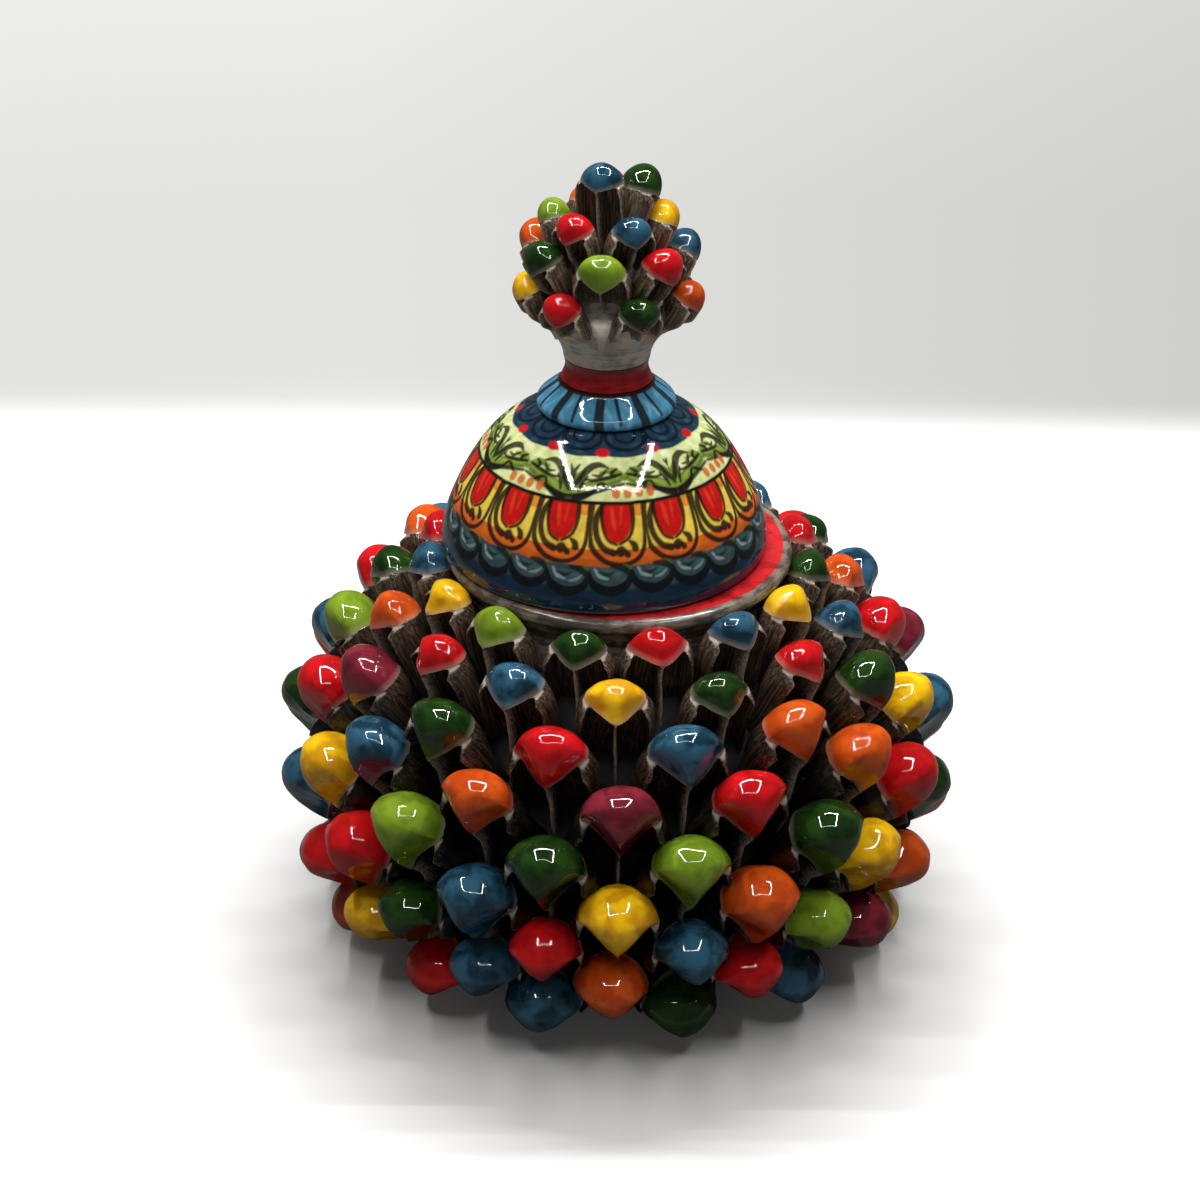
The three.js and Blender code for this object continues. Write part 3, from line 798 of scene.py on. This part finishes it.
LIP_LINE = [(49, 118.2), (50.9, 119.7), (51.3, 121.3), (50.7, 122.8), (49.4, 123.4)]
rim_line = [(MOUTH_RADIUS, NECK_TOP + GAP), (NECK_RADIUS, NECK_TOP + GAP)]
rim_line += smooth_line(LIP_LINE, 16).tolist()
lip_step = len(rim_line)
rim_line += [(48.6, 123.25), (44.5, 123.3)]
rim_line += smooth_line([(43.6, 123.4), (42.4, 122.9), (MOUTH_RADIUS, 121.8)], 6).tolist()
rim_finishes = [finish["washed_lip"], finish["red_glaze"]]
rim = turned("mouth_lip", rim_line, TURNED_SIDES, rim_finishes, [lip_step], closed=True)
hand_over(rim, "mouth_rim", "jar")

# %% [markdown]
# ## Painting the lid
# The dome is painted freehand in bands: petals, a leaf garland, a row of red eggs and a border of
# waves. An image texture is out of the question here, and shader maths grows hard to read for
# loose brush strokes. So the strokes are laid on a fine mesh as colours at its vertices, which are
# about a third of a millimetre apart, in the order in which a painter lays them: ground, fill,
# outline. A place on the lid is an angle from the front and a distance down from the black line.

# %% Brush helpers
BRUSH_EDGE = 0.28
STEPS_PER_POINT = 4


def stroke(x, y, points, widths, edge=BRUSH_EDGE):
    """How far a brush stroke covers each place: a smooth line whose width changes along it."""
    line = smooth_line(points, STEPS_PER_POINT * len(points))
    thick = np.interp(np.linspace(0, 1, len(line)), np.linspace(0, 1, len(widths)), widths)
    gap = np.full(x.shape, 1e3)
    for a, b, wide_a, wide_b in zip(line, line[1:], thick, thick[1:]):
        along = b - a
        t = np.clip(((x - a[0]) * along[0] + (y - a[1]) * along[1]) / max(along @ along, 1e-9), 0, 1)
        reach = np.hypot(x - a[0] - t * along[0], y - a[1] - t * along[1])
        gap = np.minimum(gap, reach - (wide_a + t * (wide_b - wide_a)) / 2)
    return ease(-gap, -edge, edge)


def blob(x, y, middle, radii, edge=BRUSH_EDGE):
    """How far a round touch of the brush covers each place."""
    away = np.hypot((x - middle[0]) / radii[0], (y - middle[1]) / radii[1])
    return ease((1 - away) * min(radii), -edge, edge)


def lay(colours, paint, cover):
    """Lays paint over what is there already."""
    colours += (np.array(linear(paint)[:3]) - colours) * cover[:, None]


def repeat(angle, times, phase):
    """The place within a repeat, from -1 to 1, and the number of the repeat."""
    turn = (angle - phase) / 360 * times + 0.5
    number = np.floor(turn)
    return 2 * (turn - number) - 1, number.astype(int) % times


def lively(number, times, seed, amount):
    """A small random value for each repeat, because no two strokes of a hand are alike."""
    return np.random.default_rng(seed).uniform(-amount, amount, times)[number]


RIPPLE_WAVES = 7


def ripple(angle, down, seed):
    """A slow unevenness from -1 to 1, for brushed grounds and wandering edges."""
    rng = np.random.default_rng(seed)
    total = np.zeros(angle.shape)
    for _ in range(RIPPLE_WAVES):
        times = rng.integers(3, 40)
        total += np.sin(np.radians(angle * times) + rng.uniform(-1.2, 1.2) * down + rng.uniform(0, 6.3))
    return total / RIPPLE_WAVES


# %% Band of eggs
# Places and widths of strokes are in mm, across from the repeat's middle and down from the line.
INK = "#17120E"


def paint_eggs(angle, down, colours):
    """Sixteen red eggs on yellow, hanging from the line, with their double outlines."""
    u, number = repeat(angle, 16, 5.0)
    x = u * 8.3 + lively(number, 16, 1, 0.35)
    y = down + lively(number, 16, 2, 0.35)
    lay(colours, "#DDBB48", ease(down, -0.4, 0.2))
    lay(colours, "#C9A234", ease(ripple(angle, down, 3), 0.05, 0.5) * ease(down, -0.4, 0.2) * 0.6)
    lay(colours, "#CE6A1E", blob(x, y, (6.6, 2.0), (2.0, 1.6)) * 0.8)
    lay(colours, "#CB5F1A", ease(down + 0.5 * ripple(angle, down, 4), 12.7, 13.1))
    lay(colours, "#A84A14", ease(down + 0.8 * ripple(angle, down, 5), 15.2, 16.4) * 0.7)
    egg = np.maximum(blob(x, y, (-0.2, 3.0), (4.7, 8.0)), blob(x, y, (-0.1, 6.0), (4.0, 4.4)))
    egg = np.minimum(egg, ease(y, -0.2, 0.3))
    lay(colours, "#B5140F", egg)
    streak = stroke(x, y, [(-1.6, 1.5), (-1.2, 4.5), (-0.8, 7.2)], [0.9, 1.4, 0.5], 0.5)
    lay(colours, "#D93A22", streak * egg * 0.8)
    streak = stroke(x, y, [(1.4, 1.0), (1.2, 3.5), (0.9, 5.5)], [0.6, 0.8, 0.3], 0.5)
    lay(colours, "#D4401F", streak * egg * 0.6)
    left_line = [(-4.6, 0.4), (-6.3, 4.2), (-6.0, 8.8), (-4.0, 12.3), (-1.3, 13.6)]
    egg_line = [(-4.7, 1.0), (-4.5, 5.5), (-3.0, 9.8), (-0.4, 11.3)]
    right_line = [(4.7, 0.4), (4.7, 5.2), (3.4, 9.2), (0.6, 11.2)]
    outer_line = [(-7.6, -0.5), (-8.2, 6.0), (-7.3, 12.0), (-3.6, 15.9), (1.2, 17.0),
                  (5.4, 15.4), (7.4, 11.8), (8.0, 6.0), (8.4, 0.4)]
    for points, widths in (
        (left_line, [1.6, 2.0, 1.8, 1.7, 2.1]),
        (egg_line, [1.4, 1.1, 0.9, 0.9]),
        (right_line, [1.6, 1.4, 1.0, 0.8]),
        (outer_line, [2.0, 1.9, 1.7, 1.6, 1.4, 1.3, 1.2, 1.3, 1.7]),
    ):
        lay(colours, INK, stroke(x, y, points, widths) * 0.95)
    drop = stroke(x, y, [(1.2, 12.0), (2.6, 14.2)], [0.8, 1.8])
    lay(colours, INK, np.maximum(blob(x, y, (0.7, 13.3), (1.3, 1.5)), drop) * 0.95)
    comma = stroke(x, y, [(3.3, 10.4), (4.6, 11.6), (4.8, 12.6)], [0.8, 1.7, 2.0])
    lay(colours, INK, comma * 0.95)


# %% Border of waves
def paint_waves(angle, down, colours):
    """A border of dark waves on teal, with pale crescents, above a navy edge."""
    u, number = repeat(angle, 24, 2.0)
    x = u * 6.2 + lively(number, 24, 6, 0.6)
    y = down + lively(number, 24, 7, 0.5)
    top = ease(down + 0.5 * ripple(angle, down, 8), 17.2, 17.9)
    lay(colours, "#2A4347", top)
    lay(colours, "#3E464A", ease(ripple(angle, down, 9), -0.2, 0.3) * top * 0.85)
    lay(colours, "#12293D", ease(down + 0.5 * ripple(angle, down, 10), 23.6, 24.6))
    lay(colours, "#0B1D2E", ease(ripple(angle, down, 11), -0.1, 0.4) * ease(down, 24, 25) * 0.8)
    touches = [
        ("#86A09F", [(-4.4, 18.4), (-3.0, 20.2), (-0.6, 21.2)], [0.5, 1.3, 0.5], 0.85),
        ("#7B9494", [(0.6, 21.6), (2.8, 21.0), (4.4, 19.6)], [0.4, 1.0, 0.5], 0.75 * (number % 3 > 0)),
        ("#3B595D", [(-2.0, 18.4), (1.0, 19.6), (4.6, 19.4)], [0.8, 1.6, 0.6], 0.7),
        ("#55611F", [(4.2, 17.4), (5.6, 18.2)], [1.0, 1.6], 0.8),
        ("#0B1114", [(-6.4, 19.4), (-4.6, 22.9), (0.0, 24.7), (4.6, 23.0), (6.4, 19.4)],
         [1.4, 2.6, 3.0, 2.4, 1.4], 1.0),
        ("#131A17", [(0.6, 17.6), (3.8, 18.2), (6.3, 20.4), (4.8, 22.4)], [1.0, 2.0, 1.8, 0.7], 0.9),
        ("#0F1512", [(-3.4, 19.4), (-1.0, 20.0), (1.4, 19.2)], [0.5, 1.2, 0.4], 0.8),
    ]
    for paint, points, widths, strength in touches:
        lay(colours, paint, stroke(x, y, points, widths) * strength)
    lay(colours, "#6C8790", ease(down, 30.8, 31.8) * 0.7)


# %% Garland of leaves
def paint_garland(angle, down, colours):
    """Swags of olive leaves on pale green, with dots of orange-brown over the line."""
    u, number = repeat(angle, 7, 9.0)
    x = u * 16.8 + lively(number, 7, 12, 0.8)
    y = down + lively(number, 7, 13, 0.4)
    lay(colours, "#C4CB8C", np.ones(angle.shape))
    lay(colours, "#D5D8A8", ease(ripple(angle, down, 14), 0.0, 0.5) * 0.8)
    lay(colours, "#AEBB6A", ease(ripple(angle, down, 15), 0.1, 0.5) * 0.6)
    side = np.abs(x)
    greens = [
        ([(2.0, -6.6), (6.5, -5.6), (11.0, -4.2), (15.0, -3.2)], [2.4, 3.2, 3.6, 2.6]),
        ([(16.8, -1.8), (12.8, -2.6), (9.6, -5.0)], [1.6, 3.2, 0.8]),
        ([(16.8, -2.0), (15.6, -5.8), (13.4, -9.0)], [2.2, 3.6, 1.0]),
        ([(0.0, -7.0), (3.5, -9.0), (8.0, -8.6)], [2.0, 2.4, 0.6]),
    ]
    for points, widths in greens:
        lay(colours, "#546B21", stroke(side, y, points, widths, 0.5))
    for points, widths in greens:
        lay(colours, "#82953C", stroke(side, y + 0.5, points, [0.35 * w for w in widths], 0.6) * 0.8)
    inks = [
        ([(0.5, -5.2), (6.0, -3.9), (11.0, -2.4), (15.0, -0.9)], [0.8, 1.2, 1.5, 2.2]),
        ([(1.0, -8.1), (5.0, -7.2), (10.0, -6.2), (12.5, -6.4)], [0.8, 1.3, 1.2, 0.8]),
        ([(16.8, -0.8), (13.0, -1.2), (9.8, -3.0), (8.6, -5.2)], [2.2, 2.0, 1.3, 0.7]),
        ([(16.8, -3.2), (14.4, -6.8), (11.6, -10.0), (8.4, -11.0), (5.2, -10.0)], [1.2, 1.9, 2.6, 1.9, 0.6]),
        ([(14.2, -3.0), (13.6, -5.2), (12.2, -7.2)], [0.8, 1.4, 0.7]),
        ([(16.6, -5.0), (16.9, -8.0), (15.6, -10.6)], [0.9, 1.7, 0.6]),
        ([(2.4, -9.8), (4.4, -8.4), (3.2, -7.4)], [0.7, 1.3, 0.6]),
        ([(6.0, -9.4), (8.0, -7.6), (10.6, -7.8)], [0.6, 1.3, 0.5]),
        ([(3.6, -3.4), (7.4, -5.4), (9.0, -4.4)], [0.6, 1.2, 0.5]),
    ]
    for points, widths in inks:
        lay(colours, INK, stroke(side, y, points, widths) * 0.92)
    for k in range(-1, 3):
        lay(colours, "#B9561E", blob(x, y, (3.5 * k + 0.4, -2.5), (1.25, 1.55)) * 0.9)


# %% Petals round the collar
def paint_petals(angle, down, colours):
    """Navy petals round the collar with dark outlines, and a red dot where two petals meet."""
    u, number = repeat(angle, 11, 14.4)
    middle = u * 7.2
    x = middle + lively(number, 11, 18, 0.4)
    edge = -14.9 + 1.3 * np.sqrt(np.clip(1 - u**2, 0, 1)) + 0.25 * ripple(angle, down, 16)
    navy = ease(edge - down, -0.25, 0.25)
    lay(colours, "#172F42", navy)
    lay(colours, "#24475B", ease(ripple(angle, down, 17), 0.0, 0.45) * navy * 0.7)
    outer_line = [(-6.6, -24.0), (-6.4, -19.5), (-3.4, -16.6), (0.4, -15.9),
                  (4.0, -16.8), (6.6, -19.6), (6.9, -24.0)]
    inner_line = [(-3.6, -23.0), (-2.8, -19.8), (0.2, -18.4), (3.2, -19.8), (4.0, -23.0)]
    lay(colours, "#0C141C", stroke(x, down, outer_line, [1.8, 1.6, 1.2, 1.1, 1.2, 1.6, 1.8]) * 0.9)
    lay(colours, "#0C141C", stroke(x, down, inner_line, [0.8, 1.2, 1.0, 1.2, 0.8]) * 0.9)
    lay(colours, "#B9141B", blob(np.abs(middle), down, (7.2, -15.2), (1.9, 1.5)))


# %% [markdown]
# ## The painted dome
# The dome is cut along the black line into two meshes, so each stays a manageable size, and the
# line hides the joint. Its inside, which shows when the lid is lifted, is a plain third mesh.

# %% Painted glaze
# The paint is uneven in patches of about 2 mm, and the gloss waves in steps of about 1 mm.
PAINT_SCALE = 420.0
PEEL_SCALE = 900.0
PAINTED_ROUGHNESS = 0.05


def painted_glaze():
    """Hand painting under a clear gloss: deep and wet, with a faint orange-peel wave."""
    material, tree, shader = new_material("majolica_painting")
    paint = add(tree, "ShaderNodeAttribute", attribute_name="paint").outputs["Color"]
    spot = add(tree, "ShaderNodeTexCoord").outputs["Object"]
    clouds = add(tree, "ShaderNodeTexNoise", {"Vector": spot, "Scale": PAINT_SCALE, "Detail": 4.0}).outputs[0]
    shade = add(tree, "ShaderNodeMapRange", {0: clouds, 1: 0.3, 2: 0.7, 3: 0.78, 4: 1.12}).outputs[0]
    washed = add(tree, "ShaderNodeVectorMath", {0: paint, "Scale": shade}, operation="SCALE").outputs[0]
    tree.links.new(washed, shader.inputs["Base Color"])
    peel = add(tree, "ShaderNodeTexNoise", {"Vector": spot, "Scale": PEEL_SCALE, "Detail": 2.0}).outputs[0]
    bump = add(tree, "ShaderNodeBump", {"Strength": 0.25, "Distance": 0.0001, "Height": peel})
    tree.links.new(bump.outputs[0], shader.inputs["Normal"])
    shader.inputs["Roughness"].default_value = PAINTED_ROUGHNESS
    return material


painting = painted_glaze()

# %% The lid's outline, as radius and height in mm
LID_SEAT = 123.7
COLLAR_BOTTOM = 167.1
COLLAR_TOP = 175.7
LINE_HEIGHT = 153.3
DOME_LINE = [
    (46.6, LID_SEAT), (47.6, 124.6), (48, 126.4), (47.9, 129), (46.4, 134.4), (43.9, 140.6),
    (40.4, 147.5), (36.2, 154), (31, 159.6), (25.2, 163.8), (19, 166.8),
]
COLLAR_LINE = [
    (19.4, COLLAR_BOTTOM), (20.1, 167.8), (19.8, 169.8), (17.2, 172.2), (14.4, 174.4), (13.4, COLLAR_TOP),
]
dome_line = smooth_line(DOME_LINE, 190)
collar_line = smooth_line(COLLAR_LINE, 40)
lid_line = np.vstack([dome_line, collar_line])
lid_run = run_along(lid_line)
line_run = np.interp(LINE_HEIGHT, lid_line[:, 1], lid_run)
collar_run = lid_run[len(dome_line)] - line_run
print(f"the black line is {line_run:.1f} mm up the dome, the collar starts {collar_run:.1f} mm above it")


# %% The dome's meshes
def paint_piece(piece, *bands):
    """Lays the given bands on a turned piece of the lid, as a colour attribute."""
    mesh = piece.data
    spots = np.empty(len(mesh.vertices) * 3)
    mesh.vertices.foreach_get("co", spots)
    x, y, z = spots.reshape(-1, 3).T / MM
    angle = np.degrees(np.arctan2(x - LID_CENTRE, -y))
    down = line_run - np.interp(z, lid_line[:, 1], lid_run)
    colours = np.ones((x.size, 3))
    for band in bands:
        band(angle, down, colours)
    keep(mesh, "paint", "FLOAT_COLOR", np.column_stack([colours, np.ones(x.size)]))


def black_line(angle, down, colours):
    """The thin line between eggs and garland, drawn freehand."""
    lay(colours, INK, ease(0.55 - abs(down + 0.15 * ripple(angle, down, 19)), -0.25, 0.25))


LOWER_SIDES = 800
UPPER_SIDES = 660
cut = int(np.searchsorted(dome_line[:, 1], LINE_HEIGHT))
low_dome = turned("dome_with_eggs", dome_line[:cut + 1], LOWER_SIDES, [painting], centre=LID_CENTRE)
paint_piece(low_dome, paint_eggs, paint_waves, black_line)
hand_over(low_dome, "lid_dome", "lid")

high_line = dome_line[cut:].tolist() + [(0, DOME_LINE[-1][1])]
high_dome = turned("dome_with_garland", high_line, UPPER_SIDES, [painting], centre=LID_CENTRE)
paint_piece(high_dome, paint_garland, paint_petals, black_line)
hand_over(high_dome, "lid_dome", "lid")

# %% The dome's inside and the flange that drops into the mouth
FLANGE_INSIDE = 32.7
FLANGE_RADIUS = 37.2
UNDER_LINE = [(6, 160.4), (18, 159), (29.5, 152.5), (37.6, 140), (40.6, 132)]
under_line = [(0, 160.5)] + smooth_line(UNDER_LINE, 24).tolist()
under_line += [(39.5, 128.9), (FLANGE_INSIDE, 128.7), (FLANGE_INSIDE, LID_SEAT), (DOME_LINE[0][0], LID_SEAT)]
under = turned("dome_inside", under_line, TURNED_SIDES, [finish["cream_tin_glaze"]], centre=LID_CENTRE)
hand_over(under, "lid_dome", "lid")

flange_line = [
    (FLANGE_INSIDE, 112.9), (33.2, 112.4), (35.6, 112.4), (36.8, 113), (FLANGE_RADIUS, 114.2),
    (FLANGE_RADIUS, LID_SEAT - GAP), (FLANGE_INSIDE, LID_SEAT - GAP),
]
flange = turned(
    "seating_flange", flange_line, TURNED_SIDES, [finish["cream_tin_glaze"]], centre=LID_CENTRE, closed=True,
)
hand_over(flange, "lid_flange", "lid")

# %% Collar, neck and the knob's core
def paint_collar(angle, down, colours):
    """Sky blue with nine pairs of dark strokes, a thick one and a thin one."""
    u, number = repeat(angle, 9, 2.0)
    x = u * 6.0 + lively(number, 9, 20, 0.35)
    tall = -down - collar_run
    lay(colours, "#43809F", np.ones(angle.shape))
    lay(colours, "#6E9FB2", ease(ripple(angle, down, 21), 0.0, 0.5) * 0.7)
    lay(colours, "#265B7C", ease(2.6 + ripple(angle, down, 22) - tall, 0.0, 2.0) * 0.8)
    lay(colours, INK, stroke(x, tall, [(-2.3, 0.8), (-2.7, 5.0), (-2.5, 12.0)], [2.4, 2.7, 3.0]) * 0.92)
    lay(colours, INK, stroke(x, tall, [(2.9, 2.6), (2.7, 6.0), (2.4, 12.0)], [0.8, 1.1, 1.4]) * 0.92)
    lay(colours, "#12263A", ease(0.7 - tall, -0.2, 0.3) * 0.8)
    lay(colours, "#2A120C", ease(tall - 10.9, -0.2, 0.2))


COLLAR_SIDES = 500
collar_profile = [(0, COLLAR_BOTTOM)] + collar_line.tolist() + [(0, COLLAR_TOP)]
collar = turned("collar", collar_profile, COLLAR_SIDES, [painting], centre=LID_CENTRE)
paint_piece(collar, paint_collar)
hand_over(collar, "lid_collar", "lid")

NECK_LINE = [(13.2, COLLAR_TOP + GAP), (12.2, 178.4), (11.9, 180.4), (12.3, 182.5)]
neck_profile = [(0, NECK_LINE[0][1])] + smooth_line(NECK_LINE, 12).tolist() + [(0, NECK_LINE[-1][1])]
neck = turned("knob_neck", neck_profile, TURNED_SIDES, [finish["deep_red_glaze"]], centre=LID_CENTRE)
hand_over(neck, "lid_neck", "lid")

CORE_LINE = [
    (12.4, NECK_LINE[-1][1] + GAP), (12.8, 185), (14.1, 188), (16.1, 190.8), (17.9, 193.4),
    (18.8, 195.8), (17.8, 198.4), (13, 203), (10.2, 212),
]
core_profile = [(0, CORE_LINE[0][1])] + smooth_line(CORE_LINE, 30).tolist() + [(0, 213)]
core = turned("knob_core", core_profile, TURNED_SIDES, [finish["thinly_washed_clay"]], centre=LID_CENTRE)
hand_over(core, "finial_core", "lid")

# %% [markdown]
# ## The sheet of paper
# The jar stands on white paper that is overexposed in the photograph. A brighter sheet would throw
# light back at the jar and drown its shadow. So the paper shows a brighter colour to the camera
# alone. It fades out at its edges, where in the photograph it curves up into the pale wall.

# %% Sheet of paper
# Places on the paper are in metres. It fades between two distances from the jar's middle.
PAPER_REACH = 0.55
PAPER_SEEN = (0.53, 0.525, 0.515, 1.0)
PAPER_FOR_LIGHT = "#4C4C4A"
FADE_START = 0.31
FADE_END = 0.385
FADE_ROUNDING = 0.06
FADE_AT_SIDES = 0.75
paper_corners = [(x * PAPER_REACH, y * PAPER_REACH, 0) for x, y in ((-1, -1), (1, -1), (1, 1), (-1, 1))]
paper_mesh = bpy.data.meshes.new("paper")
paper_mesh.from_pydata(paper_corners, [], [(0, 1, 2, 3)])
paper = bpy.data.objects.new("paper", paper_mesh)
bpy.context.collection.objects.link(paper)

material, tree, shader = new_material("white_paper")
seen = add(tree, "ShaderNodeLightPath").outputs["Is Camera Ray"]
tone = add(tree, "ShaderNodeMix", {0: seen, 6: linear(PAPER_FOR_LIGHT), 7: PAPER_SEEN}, data_type="RGBA")
tree.links.new(tone.outputs[2], shader.inputs["Base Color"])
shader.inputs["Roughness"].default_value = 0.9

# Backwards the paper ends at the full distance, and to the sides and forwards further out.
spot = add(tree, "ShaderNodeTexCoord").outputs["Object"]
x, y, _ = add(tree, "ShaderNodeSeparateXYZ", {0: spot}).outputs
to_side = add(tree, "ShaderNodeMath", {0: x}, operation="ABSOLUTE").outputs[0]
to_front = add(tree, "ShaderNodeMath", {0: y, 1: -1.0}, operation="MULTIPLY").outputs[0]
near = add(tree, "ShaderNodeMath", {0: to_side, 1: to_front, 2: FADE_ROUNDING}, operation="SMOOTH_MAX")
nearer = add(tree, "ShaderNodeMath", {0: near.outputs[0], 1: FADE_AT_SIDES}, operation="MULTIPLY").outputs[0]
reach = add(tree, "ShaderNodeMath", {0: nearer, 1: y}, operation="MAXIMUM").outputs[0]
fade = add(tree, "ShaderNodeMapRange", {0: reach, 1: FADE_START, 2: FADE_END, 3: 1.0, 4: 0.0},
           interpolation_type="SMOOTHSTEP").outputs[0]
tree.links.new(fade, shader.inputs["Alpha"])
paper_mesh.materials.append(material)
print(f"paper {2 * PAPER_REACH:.1f} m wide")

# %% [markdown]
# ## Lamps
# A square frame of LED strips hangs over the jar in a room that is otherwise dim, and its outline
# shines back from every cap. Four long area lights make it. A wide soft light stands for the pale
# wall behind, which casts the shadow forwards, and a weak one for the room in front, so that the
# flutes that face the camera aren't black. No glaze mirrors these two, because in the photograph
# no glaze shows the wall or the room.

# %% Lights
# Sizes are in metres and powers in watts.
FRAME_SIDE = 0.72
FRAME_HEIGHT = 0.9
FRAME_FORWARD = 0.12
STRIP_WIDTH = 0.01
STRIP_WATTS = [10.0, 5.0, 1.6, 5.0]
GLOW_TILT = -68
FILL_TILT = 75


def add_lamp(name, length, width, watts, place, mirrored=True):
    """Adds a rectangular area light at a place, given as a matrix."""
    light = bpy.data.lights.new(name, "AREA")
    light.shape = "RECTANGLE"
    light.size = length
    light.size_y = width
    light.energy = watts
    lamp = bpy.data.objects.new(name, light)
    lamp.matrix_world = place
    lamp.visible_glossy = mirrored
    bpy.context.collection.objects.link(lamp)
    print(f"{name}: {length} m by {width} m, {watts} W")


for k, watts in enumerate(STRIP_WATTS):
    place = (
        Matrix.Translation((0, -FRAME_FORWARD, FRAME_HEIGHT))
        @ Matrix.Rotation(k * math.pi / 2, 4, "Z")
        @ Matrix.Translation((0, FRAME_SIDE / 2, 0))
    )
    add_lamp(f"lamp_bar_{k + 1}", FRAME_SIDE, STRIP_WIDTH, watts, place)
place = Matrix.Translation((0, 0.95, 0.42)) @ Matrix.Rotation(math.radians(GLOW_TILT), 4, "X")
add_lamp("wall_glow", 1.4, 0.6, 18.0, place, mirrored=False)
place = Matrix.Translation((0, -1.0, 0.35)) @ Matrix.Rotation(math.radians(FILL_TILT), 4, "X")
add_lamp("room_fill", 1.2, 0.5, 1.6, place, mirrored=False)

# %% [markdown]
# ## The room
# The wall behind is white where the paper runs into it, then greyer, and paler again higher up. It
# darkens a little to the right. As with the paper, only the camera sees these tones, and the jar
# gets the light of a dim grey room.

# %% Dim room with pale walls
# The wall's tones change with how far down the camera looks: -0.44 is 26 degrees down, -0.25 is
# 14 degrees down and 0 is level.
ROOM_LIGHT = (0.08, 0.08, 0.08, 1.0)
PAPER_EDGE_TONE = "#FFFFFE"
LOW_WALL_TONE = "#E4E4E1"
HIGH_WALL_TONE = "#F6F6F4"
LOW_WALL = (-0.44, -0.39)
HIGH_WALL = (-0.33, -0.25)
HIGH_WALL_SHARE = 0.5
SHADED_SIDE = (-0.1, 0.24)
SHADED_TONE = 0.8
world = bpy.data.worlds.new("dim_room")
bpy.context.scene.world = world
world.use_nodes = True
tree = world.node_tree
way = add(tree, "ShaderNodeTexCoord").outputs["Generated"]
x, _, z = add(tree, "ShaderNodeSeparateXYZ", {0: way}).outputs
is_wall = add(tree, "ShaderNodeMapRange", {0: z, 1: LOW_WALL[0], 2: LOW_WALL[1]},
              interpolation_type="SMOOTHSTEP").outputs[0]
is_high = add(tree, "ShaderNodeMapRange", {0: z, 1: HIGH_WALL[0], 2: HIGH_WALL[1], 4: HIGH_WALL_SHARE})
low_tone = add(tree, "ShaderNodeMix", {0: is_wall, 6: linear(PAPER_EDGE_TONE), 7: linear(LOW_WALL_TONE)},
               data_type="RGBA").outputs[2]
tone = add(tree, "ShaderNodeMix", {0: is_high.outputs[0], 6: low_tone, 7: linear(HIGH_WALL_TONE)},
           data_type="RGBA").outputs[2]
to_right = add(tree, "ShaderNodeMapRange",
               {0: x, 1: SHADED_SIDE[0], 2: SHADED_SIDE[1], 3: 1.0, 4: SHADED_TONE}).outputs[0]
shaded = add(tree, "ShaderNodeVectorMath", {0: tone, "Scale": to_right}, operation="SCALE").outputs[0]
seen = add(tree, "ShaderNodeLightPath").outputs["Is Camera Ray"]
room = add(tree, "ShaderNodeMix", {0: seen, 6: ROOM_LIGHT, 7: shaded}, data_type="RGBA").outputs[2]
tree.links.new(room, tree.nodes["Background"].inputs["Color"])
bpy.context.scene.view_settings.view_transform = "Standard"
print("room:", len(tree.nodes), "nodes")
